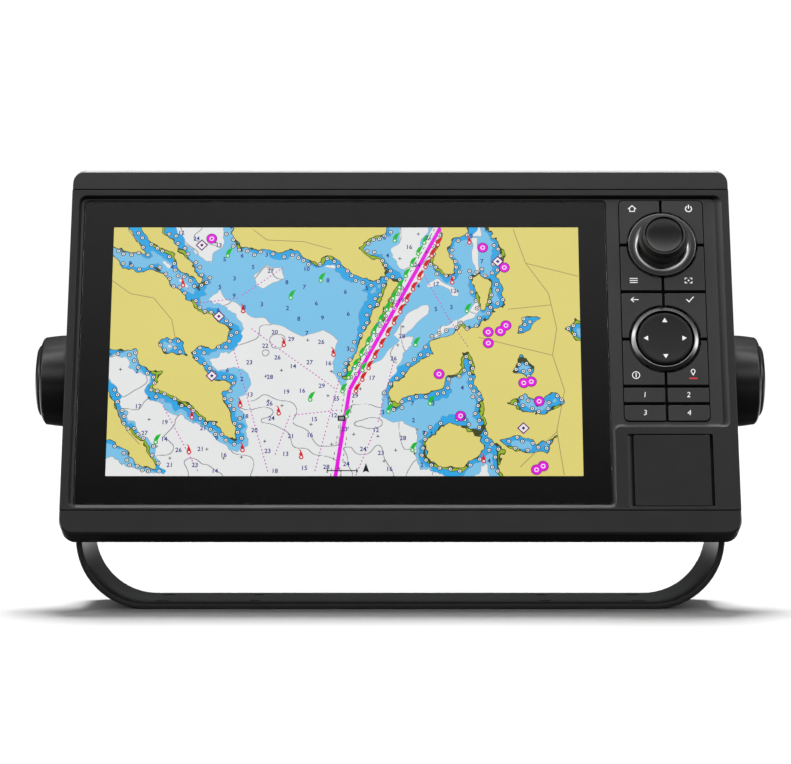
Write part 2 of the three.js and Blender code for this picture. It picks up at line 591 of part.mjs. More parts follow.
// ---- Assembly -------------------------------------------------------------------------
function buildDisplay() {
  const display = new THREE.Group();
  piece(display, 'front_bezel', 'bezel', frontBezel());
  piece(display, 'top_trim_cap', 'trim', trimCap(true));
  piece(display, 'bottom_trim_cap', 'trim', trimCap(false));
  piece(display, 'display_glass', 'glass', displayGlass());
  piece(display, 'glass_seal', 'rubber', glassSeal());
  piece(display, 'lcd_panel', 'screen', lcdPanel());
  piece(display, 'lcd_backlight', 'steel', lcdBacklight());
  KEY_NAMES.forEach((names, row) => names.forEach(
    (name, column) => piece(display, name, 'key', keyCap(row, column))));
  piece(display, 'keypad_membrane', 'rubber', keypadMembrane());
  piece(display, 'keypad_board', 'board', keypadBoard());
  piece(display, 'knob_ring', 'gloss', knobRing());
  piece(display, 'control_knob', 'trim', controlKnob());
  piece(display, 'knob_cap', 'gloss', knobCap());
  piece(display, 'encoder_shaft', 'steel', encoderShaft());
  piece(display, 'rotary_encoder', 'steel', rotaryEncoder());
  piece(display, 'pad_ring', 'gloss', padRing());
  piece(display, 'direction_pad', 'key', directionPad());
  piece(display, 'pad_carrier', 'trim', padCarrier());
  piece(display, 'card_door', 'bezel', cardDoor());
  piece(display, 'door_hinge_pin', 'steel', doorHingePin());
  piece(display, 'door_seal', 'rubber', doorSeal());
  piece(display, 'card_reader', 'trim', cardReader());
  piece(display, 'rear_housing', 'housing', rearHousing());
  piece(display, 'housing_gasket', 'rubber', housingGasket());
  screwPlaces().forEach((place, n) => piece(display, `housing_screw_${n + 1}`, 'steel', housingScrew(place)));
  piece(display, 'main_board', 'board', mainBoard());
  piece(display, 'gps_antenna', 'ceramic', gpsAntenna());
  const socketNames = ['power_socket', 'network_socket_1', 'network_socket_2', 'data_socket',
    'sonar_socket', 'video_socket'];
  socketPlaces().forEach((x, n) => piece(display, socketNames[n], 'trim', cableSocket(x)));
  piece(display, 'vent_plug', 'rubber', ventPlug());
  piece(display, 'pivot_insert_left', 'brass', pivotInsert(-1));
  piece(display, 'pivot_insert_right', 'brass', pivotInsert(1));
  piece(display, 'clamp_knob_left', 'trim', clampKnob(-1));
  piece(display, 'clamp_knob_right', 'trim', clampKnob(1));
  piece(display, 'knob_stud_left', 'steel', knobStud(-1));
  piece(display, 'knob_stud_right', 'steel', knobStud(1));
  display.position.z = PIVOT_HEIGHT;
  display.rotation.x = radians(-LEAN_DEG);
  return display;
}

function buildChartplotter() {
  const chartplotter = new THREE.Group();
  piece(chartplotter, 'mounting_bracket', 'bracket', mountingBracket());
  piece(chartplotter, 'friction_washer_left', 'rubber', frictionWasher(-1));
  piece(chartplotter, 'friction_washer_right', 'rubber', frictionWasher(1));
  chartplotter.add(buildDisplay());
  return chartplotter;
}

export default buildChartplotter();
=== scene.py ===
import json
import math
from collections import namedtuple

import bmesh
import bpy
import numpy as np
from mathutils import Matrix, Vector
from mathutils.geometry import tessellate_polygon

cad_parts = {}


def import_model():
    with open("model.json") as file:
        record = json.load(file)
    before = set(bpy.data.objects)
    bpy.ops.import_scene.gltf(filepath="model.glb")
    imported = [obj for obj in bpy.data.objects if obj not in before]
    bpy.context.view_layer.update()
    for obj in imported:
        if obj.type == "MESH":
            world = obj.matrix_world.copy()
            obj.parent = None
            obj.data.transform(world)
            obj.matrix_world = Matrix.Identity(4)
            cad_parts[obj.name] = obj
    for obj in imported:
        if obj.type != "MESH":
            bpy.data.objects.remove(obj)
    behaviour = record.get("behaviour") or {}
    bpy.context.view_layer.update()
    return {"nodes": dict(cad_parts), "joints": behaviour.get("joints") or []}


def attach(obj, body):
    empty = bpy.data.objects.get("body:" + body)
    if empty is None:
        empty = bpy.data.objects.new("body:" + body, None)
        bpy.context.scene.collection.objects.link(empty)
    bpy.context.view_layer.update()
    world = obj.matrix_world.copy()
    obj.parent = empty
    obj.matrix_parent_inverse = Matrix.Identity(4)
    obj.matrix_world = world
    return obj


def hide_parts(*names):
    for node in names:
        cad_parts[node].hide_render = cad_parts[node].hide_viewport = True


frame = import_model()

MM = 0.001
JOINTS = {joint["name"]: joint for joint in frame["joints"]}
PIVOT = Vector(JOINTS["display_tilt"]["pos_m"])
PRESS = Vector(JOINTS["key_home_press"]["axis"])
LEAN = math.atan2(-PRESS.z, PRESS.y)
LOCAL = Matrix.Translation(PIVOT) @ Matrix.Rotation(-LEAN, 4, "X") @ Matrix.Scale(MM, 4)
WORLD = Matrix.Scale(MM, 4)

Box = namedtuple("Box", "left right front back bottom top")


def span(node, matrix=LOCAL):
    """A CAD node's extent in millimetres, in the display's own directions."""
    inverse = matrix.inverted()
    points = np.array([inverse @ v.co for v in frame["nodes"][node].data.vertices])
    low, high = points.min(0), points.max(0)
    return Box(low[0], high[0], low[1], high[1], low[2], high[2])


def middle(box):
    return (box.left + box.right) / 2, (box.bottom + box.top) / 2


# ---- Driving dimensions, millimetres ----------------------------------------------------
BEZEL = span("front_bezel")
TOP_CAP = span("top_trim_cap")
BOTTOM_CAP = span("bottom_trim_cap")
GLASS = span("display_glass")
PANEL = span("lcd_panel")
DOOR = span("card_door")
HOUSING = span("rear_housing")
KEY_FIRST, KEY_LAST = span("key_home"), span("key_four")
KNOB, CAP, RING = span("control_knob"), span("knob_cap"), span("knob_ring")
PAD, PAD_RING = span("direction_pad"), span("pad_ring")
GAP = 0.3
FRONT, BODY_BACK, HALF = BEZEL.front, BEZEL.back, BEZEL.right
SEAM_TOP, SEAM_BOTTOM = TOP_CAP.bottom - GAP, BOTTOM_CAP.top + GAP
FLOOR = FRONT + 2.0  # depth of the recess over the glass and the keys
PLATE_BACK = -29.5
LEDGE = -31.2  # where the glass rests, in the opening of the plate
CARD_BAY_BACK = -31.3
RECESS = {"half": 162.2, "bottom": -78.4, "top": 86.6}
PEDESTAL = {"left": 105.5, "top": -36.8}
BODY_CORNER = 7
SCREEN_SIDE, SCREEN_UNDER, SCREEN_OVER = 2.5, 3.3, 1.2  # unlit edges of the panel
SCREEN = Box(PANEL.left + SCREEN_SIDE, PANEL.right - SCREEN_SIDE, PANEL.front, PANEL.back,
             PANEL.bottom + SCREEN_UNDER, PANEL.top - SCREEN_OVER)
DIAL_CLEAR = 17.6


# ---- Outlines in the plane of the face --------------------------------------------------
def rectangle(left, right, bottom, top):
    return [(left, bottom), (right, bottom), (right, top), (left, top)]


def bordered(box, border):
    """The face outline of a box with a border taken off all round."""
    return rectangle(box.left + border, box.right - border, box.bottom + border, box.top - border)


def rounded(corners, radii, steps=6):
    """A closed outline with round corners; a corner of radius 0 stays sharp."""
    if not hasattr(radii, "__len__"):
        radii = [radii] * len(corners)
    outline = []
    for n, radius in enumerate(radii):
        corner = Vector(corners[n])
        if radius <= 0:
            outline.append(tuple(corner))
            continue
        back = (Vector(corners[n - 1]) - corner).normalized()
        on = (Vector(corners[(n + 1) % len(corners)]) - corner).normalized()
        half = back.angle(on) / 2
        centre = corner + (back + on).normalized() * radius / math.sin(half)
        reach = radius / math.tan(half)
        first, last = corner + back * reach - centre, corner + on * reach - centre
        start = math.atan2(first.y, first.x)
        turn = (math.atan2(last.y, last.x) - start + math.pi) % (2 * math.pi) - math.pi
        for k in range(steps + 1):
            angle = start + turn * k / steps
            outline.append((centre.x + radius * math.cos(angle), centre.y + radius * math.sin(angle)))
    return outline


def inset(outline, distance):
    """An anticlockwise outline moved inwards, its corners mitred."""
    points = np.array(outline, float)
    edges = np.roll(points, -1, 0) - points
    edges /= np.linalg.norm(edges, axis=1)[:, None]
    normals = np.stack([-edges[:, 1], edges[:, 0]], 1)
    both = normals + np.roll(normals, 1, 0)
    both /= (both**2).sum(1)[:, None] / 2
    return points + distance * both


def fillet(radius, steps=3):
    """(inset, depth) pairs round a quarter circle, from a face to its side wall."""
    angles = [math.pi / 2 * k / steps for k in range(steps + 1)]
    return [(radius * (1 - math.sin(a)), radius * (1 - math.cos(a))) for a in angles]


def circle(x, z, radius, count=48, start=0.0):
    angles = [start + 2 * math.pi * k / count for k in range(count)]
    return [(x + radius * math.cos(a), z + radius * math.sin(a)) for a in angles]


# ---- Mesh building ----------------------------------------------------------------------
class Shell:
    """Collects points, faces and the material number of each face."""

    def __init__(self):
        self.points, self.faces, self.slots = [], [], []

    def add(self, points):
        start = len(self.points)
        self.points += [tuple(p) for p in points]
        return list(range(start, len(self.points)))

    def face(self, corners, slot=0):
        self.faces.append(tuple(corners))
        self.slots.append(slot)

    def loop(self, outline, y):
        return self.add((x, y, z) for x, z in outline)

    def wall(self, a, b, slot=0):
        for k in range(len(a)):
            n = (k + 1) % len(a)
            self.face((a[k], a[n], b[n], b[k]), slot)

    def walls(self, loops, slot=0):
        for a, b in zip(loops, loops[1:]):
            self.wall(a, b, slot)

    def centre(self, face):
        return [sum(axis) / len(face) for axis in zip(*(self.points[i] for i in face))]

    def cap(self, outer, holes=(), slot=0):
        loops = [outer, *holes]
        flat = [[Vector((self.points[i][0], self.points[i][2], 0)) for i in loop] for loop in loops]
        if not holes:
            self.face(outer, slot)
            return
        numbers = [i for loop in loops for i in loop]
        for triangle in tessellate_polygon(flat):
            self.face([numbers[i] for i in triangle], slot)

    def levels(self, outline, pairs, slot=0):
        """Walls through (inset, y) levels of one outline; gives the first and last loops."""
        loops = [self.loop(inset(outline, d), y) for d, y in pairs]
        self.walls(loops, slot)
        return loops[0], loops[-1]

    def prism(self, outline, front, back, front_edge=0.3, back_edge=0.0, slot=0):
        """A closed plate with a rounded front edge and, if asked, a rounded back edge."""
        pairs = [(d, front + y) for d, y in fillet(front_edge)]
        if back_edge:
            pairs += [(d, back - y) for d, y in reversed(fillet(back_edge))]
        else:
            pairs.append((0, back))
        first, last = self.levels(outline, pairs, slot)
        self.cap(first, slot=slot)
        self.cap(last, slot=slot)

    def turned(self, profile, x=0.0, z=0.0, sides=72, along="y", closed=False, grip=None, slot=0):
        """A body of revolution; the profile holds (radius, distance along the axis)."""
        rings = []
        for radius, reach in profile:
            if radius < 1e-6:
                rings.append(self.add([self.place(0, 0, reach, x, z, along)]))
                continue
            turn = [2 * math.pi * k / sides for k in range(sides)]
            swell = [grip(a, reach) if grip else 1.0 for a in turn]
            rings.append(self.add(
                self.place(radius * s * math.cos(a), radius * s * math.sin(a), reach, x, z, along)
                for a, s in zip(turn, swell)))
        pairs = list(zip(rings, rings[1:])) + ([(rings[-1], rings[0])] if closed else [])
        for a, b in pairs:
            self.join(a, b, slot)

    @staticmethod
    def place(u, w, reach, x, z, along):
        return (x + u, reach, z + w) if along == "y" else (reach, u, w)

    def join(self, a, b, slot):
        if len(a) == len(b):
            self.wall(a, b, slot)
            return
        tip, ring = (a[0], b) if len(a) == 1 else (b[0], a)
        for k in range(len(ring)):
            self.face((tip, ring[k], ring[(k + 1) % len(ring)]), slot)


def softened(profile, radius, closed=False):
    """A turned profile with its corners rounded."""
    radii = [radius] * len(profile)
    if not closed:
        radii[0] = radii[-1] = 0
    return rounded(profile, radii, steps=4)


def linked(name, data):
    obj = bpy.data.objects.new(name, data)
    bpy.context.scene.collection.objects.link(obj)
    return obj


def mesh_of(name, shell, matrix):
    mesh = bpy.data.meshes.new(name)
    mesh.from_pydata(shell.points, [], shell.faces)
    mesh.polygons.foreach_set("material_index", shell.slots)
    mesh.transform(matrix)
    return mesh


def face_outwards(mesh, weld=False):
    """Turns every face outwards, after joining the points that coincide if asked."""
    work = bmesh.new()
    work.from_mesh(mesh)
    if weld:
        bmesh.ops.remove_doubles(work, verts=work.verts, dist=1e-7)
    bmesh.ops.recalc_face_normals(work, faces=work.faces)
    work.to_mesh(mesh)
    work.free()


def shade(obj, sharp=35):
    """Smooth shading with sharp edges above an angle in degrees."""
    obj.data.shade_smooth()
    obj.data.set_sharp_from_angle(angle=math.radians(sharp))
    obj.modifiers.new("Even shading", "WEIGHTED_NORMAL").keep_sharp = True


def piece(name, shell, materials, body, stands_for=(), matrix=LOCAL, sharp=35, flat=False):
    """Makes the object of a shell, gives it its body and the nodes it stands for."""
    mesh = mesh_of(name, shell, matrix)
    for material in materials:
        mesh.materials.append(material)
    if not flat:
        face_outwards(mesh, weld=True)
    obj = linked(name, mesh)
    if not flat:
        shade(obj, sharp)
    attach(obj, body)
    if stands_for:
        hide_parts(*stands_for)
    return obj


def carve(obj, cutters, operation="DIFFERENCE"):
    """Applies exact booleans to a piece and removes the cutters."""
    obj.modifiers.clear()
    for cutter in cutters:
        step = obj.modifiers.new("Cut", "BOOLEAN")
        step.operation, step.solver, step.object = operation, "EXACT", cutter
    bpy.context.view_layer.update()
    mesh = bpy.data.meshes.new_from_object(obj.evaluated_get(bpy.context.evaluated_depsgraph_get()))
    obj.modifiers.clear()
    obj.data = mesh
    shade(obj)
    for cutter in cutters:
        bpy.data.objects.remove(cutter)


def cutter_of(shell, matrix):
    mesh = mesh_of("cutter", shell, matrix)
    face_outwards(mesh)
    return linked("cutter", mesh)


# ---- Materials --------------------------------------------------------------------------
NOISE_SPAN = (0.3, 0.7)  # where a noise pattern has most of its values
MIRROR_SHARE = 0.04  # what clear glass reflects, seen straight on


def principled(name):
    material = bpy.data.materials.new(name)
    material.use_nodes = True
    tree = material.node_tree
    return material, tree, tree.nodes["Principled BSDF"]


def noise_node(tree, scale, detail=3.0, stretch=None):
    where = tree.nodes.new("ShaderNodeTexCoord")
    pattern = tree.nodes.new("ShaderNodeTexNoise")
    pattern.inputs["Scale"].default_value = scale
    pattern.inputs["Detail"].default_value = detail
    source = where.outputs["Object"]
    if stretch:
        mapping = tree.nodes.new("ShaderNodeMapping")
        mapping.inputs["Scale"].default_value = stretch
        tree.links.new(source, mapping.inputs["Vector"])
        source = mapping.outputs["Vector"]
    tree.links.new(source, pattern.inputs["Vector"])
    return pattern.outputs["Fac"]


def map_range(tree, factor, source, target=(0.0, 1.0), easing="LINEAR"):
    """Maps the source range of a value onto the target range."""
    node = tree.nodes.new("ShaderNodeMapRange")
    node.interpolation_type = easing
    for name, value in zip(("From Min", "From Max", "To Min", "To Max"), (*source, *target)):
        node.inputs[name].default_value = value
    tree.links.new(factor, node.inputs["Value"])
    return node.outputs["Result"]


def spread(tree, noise, low, high):
    return map_range(tree, noise, NOISE_SPAN, (low, high))


def tinted(tree, factor, dark, light):
    ramp = tree.nodes.new("ShaderNodeValToRGB")
    for element, place, colour in zip(ramp.color_ramp.elements, NOISE_SPAN, (dark, light)):
        element.position, element.color = place, (*colour, 1)
    tree.links.new(factor, ramp.inputs["Fac"])
    return ramp.outputs["Color"]


def surface(name, colour, roughness, grain=1500.0, depth=0.02, mottle=70.0, vary=0.12, metallic=0.0,
            specular=0.5, stretch=None, glow=0.0):
    """A moulded, painted or metal finish: mottled colour, uneven gloss and a fine grain in relief."""
    material, tree, shader = principled(name)
    patches = noise_node(tree, mottle, stretch=stretch)
    dark = [c * (1 - vary) for c in colour]
    light = [min(1.0, c * (1 + vary)) for c in colour]
    tree.links.new(tinted(tree, patches, dark, light), shader.inputs["Base Color"])
    smears = noise_node(tree, mottle * 0.35, 5.0)
    tree.links.new(spread(tree, smears, roughness * 0.93, roughness * 1.07), shader.inputs["Roughness"])
    bump = tree.nodes.new("ShaderNodeBump")
    bump.inputs["Strength"].default_value = 0.6
    bump.inputs["Distance"].default_value = depth * MM
    tree.links.new(noise_node(tree, grain, 2.0, stretch), bump.inputs["Height"])
    tree.links.new(bump.outputs["Normal"], shader.inputs["Normal"])
    shader.inputs["Metallic"].default_value = metallic
    shader.inputs["Specular IOR Level"].default_value = specular
    shader.inputs["Emission Color"].default_value = (*colour, 1)
    shader.inputs["Emission Strength"].default_value = glow
    return material


def clear_glass():
    """The cover glass: clear straight through, reflecting more the flatter it is seen."""
    material = bpy.data.materials.new("cover glass")
    material.use_nodes = True
    tree = material.node_tree
    tree.nodes.clear()
    output = tree.nodes.new("ShaderNodeOutputMaterial")
    mix = tree.nodes.new("ShaderNodeMixShader")
    through = tree.nodes.new("ShaderNodeBsdfTransparent")
    gloss = tree.nodes.new("ShaderNodeBsdfGlossy")
    facing = tree.nodes.new("ShaderNodeLayerWeight")
    facing.inputs["Blend"].default_value = 0.5
    steep = tree.nodes.new("ShaderNodeMath")
    steep.operation = "POWER"
    steep.inputs[1].default_value = 5.0
    tree.links.new(facing.outputs["Facing"], steep.inputs[0])
    share = tree.nodes.new("ShaderNodeMath")
    share.operation = "MULTIPLY_ADD"
    share.inputs[1].default_value, share.inputs[2].default_value = 1 - MIRROR_SHARE, MIRROR_SHARE
    tree.links.new(spread(tree, noise_node(tree, 25.0, 4.0), 0.03, 0.05), gloss.inputs["Roughness"])
    tree.links.new(steep.outputs["Value"], share.inputs[0])
    tree.links.new(share.outputs["Value"], mix.inputs["Fac"])
    tree.links.new(through.outputs["BSDF"], mix.inputs[1])
    tree.links.new(gloss.outputs["BSDF"], mix.inputs[2])
    tree.links.new(mix.outputs["Shader"], output.inputs["Surface"])
    return material


def lit(name, srgb):
    """A colour of the lit picture, given as 0 to 255 values, with a faint unevenness."""
    material, tree, shader = principled(name)
    linear = [((v / 255 + 0.055) / 1.055) ** 2.4 for v in srgb]
    dark = [c * 0.97 for c in linear]
    shader.inputs["Base Color"].default_value = (0, 0, 0, 1)
    shader.inputs["Roughness"].default_value = 0.6
    shader.inputs["Specular IOR Level"].default_value = 0.0
    tree.links.new(tinted(tree, noise_node(tree, 18.0), dark, linear), shader.inputs["Emission Color"])
    shader.inputs["Emission Strength"].default_value = 1.0
    return material


BEZEL_PLASTIC = surface("bezel plastic", (0.0155, 0.0155, 0.016), 0.5, specular=0.25)
PANEL_PLASTIC = surface("control panel plastic", (0.024, 0.024, 0.0245), 0.5, specular=0.35)
# a darker copy of the bezel plastic for the recess walls at the sides and the top: painted shade
SHADED_WALL_PLASTIC = surface("recess wall plastic darkened as painted shade", (0.006, 0.006, 0.006), 0.35, depth=0.01, specular=0.3)
TRIM_PLASTIC = surface("trim plastic", (0.0165, 0.0165, 0.017), 0.5, specular=0.28)
KEY_PLASTIC = surface("key plastic", (0.027, 0.027, 0.0275), 0.5, grain=2200, depth=0.01, specular=0.38)
DOOR_PLASTIC = surface("door plastic", (0.013, 0.013, 0.0135), 0.5, specular=0.3)
PAD_PLASTIC = surface("pad plastic", (0.011, 0.011, 0.0115), 0.5, grain=2200, depth=0.01, specular=0.28)
CLAMP_PLASTIC = surface("clamp grip plastic", (0.016, 0.016, 0.0165), 0.33, grain=2600, depth=0.01)
KNOB_PLASTIC = surface("soft touch plastic", (0.018, 0.018, 0.0185), 0.5, grain=2600, depth=0.015)
CAP_PLASTIC = surface("polished cap", (0.006, 0.006, 0.0065), 0.25, grain=900, depth=0.002)
GLOSS = surface("black chrome", (0.2, 0.2, 0.204), 0.2, grain=700, depth=0.001, metallic=1.0)
# a darker copy of the black chrome for the outer band of the knob surround: painted shade
SHADED_CHROME = surface("chrome darkened as painted shade", (0.09, 0.09, 0.092), 0.25, grain=700, depth=0.001, metallic=1.0)
# a lighter, glossier copy of the trim plastic for edges that should catch the light: painted highlight
LIT_TRIM_EDGE = surface("satin trim edge lightened as painted highlight", (0.03, 0.03, 0.0305), 0.3, depth=0.01, specular=1.0)
PRINT_BLACK = surface("black border print", (0.002, 0.002, 0.002), 0.6, specular=0.0)
PRINT_WHITE = surface("white print", (0.8, 0.8, 0.8), 0.6, grain=4000, depth=0.004, vary=0.04, glow=0.45)
PRINT_RED = surface("red print", (0.55, 0.02, 0.03), 0.6, grain=4000, depth=0.004, vary=0.04, glow=0.4)
RUBBER = surface("black rubber", (0.012, 0.012, 0.012), 0.85, grain=900, depth=0.03)
BOARD = surface("solder mask", (0.02, 0.09, 0.04), 0.45, mottle=160, vary=0.3)
STEEL = surface("stainless steel", (0.55, 0.55, 0.54), 0.32, metallic=1.0, grain=900, depth=0.004)
BRASS = surface("turned brass", (0.62, 0.45, 0.18), 0.3, metallic=1.0, grain=900, depth=0.004)
CERAMIC = surface("fired ceramic", (0.62, 0.57, 0.45), 0.4, mottle=300, vary=0.06)
SOCKET_PLASTIC = surface("glass filled plastic", (0.014, 0.014, 0.0145), 0.6, grain=1800, depth=0.03)
HOUSING_PLASTIC = surface("textured housing", (0.02, 0.0205, 0.021), 0.62, grain=1300, depth=0.08)
BRACKET_PAINT = surface("powder coat", (0.014, 0.0143, 0.0147), 0.4, grain=1700, depth=0.06)
DIFFUSER = surface("light guide frame", (0.6, 0.6, 0.6), 0.5)
COVER_GLASS = clear_glass()


# ---- Front shell ------------------------------------------------------------------------
def recess_outline(left, right, bottom, top, block_left, block_top, radii):
    corners = [(left, bottom), (block_left, bottom), (block_left, block_top), (right, block_top),
               (right, top), (left, top)]
    return rounded(corners, radii)


def body_outline(bottom, top):
    """Outline of the body between two heights that cut its round corners short."""
    radius, steps = BODY_CORNER, 8
    right = []
    for edge, cut, sign in ((BOTTOM_CAP.bottom, bottom, -1), (TOP_CAP.top, top, 1)):
        centre = edge - sign * radius
        end = math.asin(sign * (cut - centre) / radius)
        turn = [end * k / steps for k in range(steps + 1)]
        arc = [(HALF - radius + radius * math.cos(a), centre + sign * radius * math.sin(a)) for a in turn]
        right += arc if sign > 0 else arc[::-1]
    return right + [(-x, z) for x, z in reversed(right)]


def front_bezel():
    shell = Shell()
    side, seam = 0.7, 0.25  # edge rounding at the sides and at the trim caps
    face = rounded(rectangle(-HALF + side, HALF - side, SEAM_BOTTOM + seam, SEAM_TOP - seam), 0.2)
    full = rounded(rectangle(-HALF, HALF, SEAM_BOTTOM, SEAM_TOP), 0.3)
    tongue = body_outline(BEZEL.bottom, BEZEL.top)
    step = BOTTOM_CAP.front + 8.0
    loops = [shell.loop(face, FRONT), shell.loop(inset(full, 0.07), FRONT + 0.3),
             shell.loop(full, FRONT + 0.9), shell.loop(full, step), shell.loop(tongue, step),
             shell.loop(tongue, BODY_BACK)]
    shell.walls(loops)
    # the sloping wall of the recess, from the rim down to its floor
    r = RECESS
    rim = recess_outline(-r["half"], r["half"], r["bottom"], r["top"], PEDESTAL["left"],
                         PEDESTAL["top"], [4, 3, 3, 2.5, 4, 4])
    foot = recess_outline(-r["half"] + 1.3, r["half"] - 3.3, r["bottom"] + 1.95, r["top"] - 1.25,
                          PEDESTAL["left"] - 1.0, PEDESTAL["top"] + 1.8, [2.4, 2, 4, 2, 2.4, 2.4])
    rim_loop = shell.loop(inset(rim, -0.25), FRONT)
    edge_loop = shell.loop(rim, FRONT + 0.12)
    foot_loop = shell.loop(foot, FLOOR)
    shell.wall(rim_loop, edge_loop)
    first = len(shell.faces)
    shell.wall(edge_loop, foot_loop)
    # painted light: the side and top walls get the darker copy of the plastic as painted shade, the lower
    # walls and those round the pedestal get the lighter, glossier copy as painted highlight
    for k in range(first, len(shell.faces)):
        x, _, z = shell.centre(shell.faces[k])
        shell.slots[k] = 2 if abs(x) > HALF - 8 or z > r["top"] - 3 else 3
    # the bay behind the card door, its left side a sloping finger scoop
    bay_right, bay_bottom, bay_top = DOOR.right + 1.5, DOOR.bottom - 0.2, DOOR.top + 0.3
    mouth = rounded(rectangle(DOOR.left - 3.0, bay_right, bay_bottom, bay_top), 1)
    throat = rounded(rectangle(DOOR.left - GAP, bay_right, bay_bottom, bay_top), 1)
    bay_front = shell.loop(inset(mouth, -0.2), FRONT)
    bay_loops = [bay_front, shell.loop(mouth, FRONT + 0.15), shell.loop(throat, FRONT + 1.8),
                 shell.loop(throat, CARD_BAY_BACK)]
    shell.walls(bay_loops)
    reader = rounded(rectangle(117, 146, -74, -45), 1)
    reader_front, reader_back = shell.levels(reader, [(0, CARD_BAY_BACK), (0, PLATE_BACK)])
    shell.cap(bay_loops[-1], [reader_front])
    shell.cap(loops[0], [rim_loop, bay_front])
    # the openings in the recess floor
    grown = rounded(bordered(GLASS, -GAP), 2)
    glass_front = shell.loop(inset(grown, -0.12), FLOOR)
    glass_side = shell.loop(grown, FLOOR + 0.12)
    glass_ledge = shell.loop(grown, LEDGE)
    shell.wall(glass_front, glass_side)
    shell.wall(glass_side, glass_ledge)
    window = rounded(rectangle(GLASS.left + 12, GLASS.right - 8, GLASS.bottom + 8, GLASS.top - 8), 2)
    window_front, window_back = shell.levels(window, [(0, LEDGE), (0, PLATE_BACK)])
    shell.cap(glass_ledge, [window_front])
    keys = rounded(rectangle(KEY_FIRST.left - GAP, KEY_LAST.right + GAP, KEY_LAST.bottom - GAP,
                             KEY_FIRST.top + GAP), 2.6)
    keys_front = shell.loop(inset(keys, -0.15), FLOOR)
    keys_side, keys_back = shell.levels(keys, [(0, FLOOR + 0.15), (0, PLATE_BACK)])
    shell.wall(keys_front, keys_side)
    shell.cap(foot_loop, [glass_front, keys_front], 1)
    # the hollow behind the plate
    left, low, high, step_back = -149, -77.3, 86.8, -24.5
    hollow = rounded(rectangle(left, 152.8, low, high), 4)
    wide = rounded(rectangle(left, 156, low, high), 4)
    seat = rounded(rectangle(-155.6, 155.6, -86.6, 95.6), 8)
    seat_depth = 0.3
    seat_rim, seat_foot = shell.levels(seat, [(0, BODY_BACK), (0, BODY_BACK - seat_depth)])
    rear_loops = [shell.loop(hollow, BODY_BACK - seat_depth), shell.loop(hollow, step_back),
                  shell.loop(wide, step_back), shell.loop(wide, PLATE_BACK)]
    shell.walls(rear_loops)
    shell.cap(loops[-1], [seat_rim])
    shell.cap(seat_foot, [rear_loops[0]])
    shell.cap(rear_loops[-1], [window_back, keys_back, reader_back])
    finishes = [BEZEL_PLASTIC, PANEL_PLASTIC, SHADED_WALL_PLASTIC, LIT_TRIM_EDGE]
    return piece("bezel_shell", shell, finishes, "display", ["front_bezel"])


def cap_outline(seam, edge, seam_inset, side_inset, edge_inset):
    """Outline of a trim cap from its seam to the body's edge, the two far corners round."""
    sign = 1 if edge > seam else -1
    low, high = seam + sign * seam_inset, edge - sign * edge_inset
    half, radius = HALF - side_inset, BODY_CORNER - (side_inset + edge_inset) / 2
    centre = high - sign * radius
    start = math.asin(min(1.0, max(0.0, sign * (low - centre) / radius)))
    steps = 12
    turn = [start + (math.pi / 2 - start) * k / steps for k in range(steps + 1)]
    right = [(half - radius + radius * math.cos(a), centre + sign * radius * math.sin(a)) for a in turn]
    reach = half - radius + radius * math.cos(start)
    outline = [(-reach, low), (reach, low), *right, *[(-x, z) for x, z in reversed(right)]]
    # where the first arc point meets the seam corner the two would coincide
    outline[0], outline[1] = (-reach, low - sign * 0.01), (reach, low - sign * 0.01)
    return outline if sign > 0 else outline[::-1]


def trim_cap(name, seam, edge, chamfer):
    """A trim cap: a front wall, and an outer wall that runs back over the bezel's tongue."""
    shell = Shell()
    sign = 1 if edge > seam else -1
    # insets at the seam, the sides and the outer edge, and the depth
    levels = [(0.22, 0.75, chamfer, 0.0), (0.06, 0.5, chamfer * 0.93, 0.06),
              (0.0, 0.25, chamfer * 0.12, chamfer * 0.9), (0.0, 0.06, 0.03, chamfer * 1.02),
              (0.0, 0.0, 0.0, chamfer * 1.2)]
    loops = [shell.loop(cap_outline(seam, edge, a, b, c), FRONT + y) for a, b, c, y in levels]
    inner = FRONT + 7.7
    loops.append(shell.loop(cap_outline(seam, edge, 0, 0, 0), inner))
    wall = cap_outline(edge - sign * 2.3, edge, 0, 0, 0)
    loops.append(shell.loop(wall, inner))
    loops.append(shell.loop(wall, BODY_BACK))
    # the chamfer walls of the outer edge get the lighter, glossier copy of the trim plastic as painted
    # highlight
    for k, (a, b) in enumerate(zip(loops, loops[1:])):
        shell.wall(a, b, int(k in (1, 2)))
    shell.cap(loops[0])
    shell.cap(loops[-1])
    return piece(name + "_shell", shell, [TRIM_PLASTIC, LIT_TRIM_EDGE], "display", [name])


# ---- Glass and screen -------------------------------------------------------------------
def cover_glass():
    shell = Shell()
    outline = rounded(bordered(GLASS, 0), 1.8)
    shell.prism(outline, GLASS.front, GLASS.back, 0.3, 0.2)
    piece("cover_glass", shell, [COVER_GLASS], "display", ["display_glass"])
    border = Shell()
    behind, thick = GLASS.back + 0.03, 0.05
    outer = rounded(bordered(GLASS, 0.3), 1.6)
    window = rounded(bordered(SCREEN, 0), 0.3)
    outer_front, outer_back = border.levels(outer, [(0, behind), (0, behind + thick)])
    inner_front, inner_back = border.levels(window, [(0, behind), (0, behind + thick)])
    border.cap(outer_front, [inner_front])
    border.cap(outer_back, [inner_back])
    piece("glass_border_print", border, [PRINT_BLACK], "display")


# ---- Keys -------------------------------------------------------------------------------
KEY_ROWS = [("home", "power"), ("menu", "focus"), ("back", "select"), ("info", "mark"),
            ("one", "two"), ("three", "four")]
DIAL_X, KNOB_Z = middle(RING)
PAD_Z = middle(PAD_RING)[1]


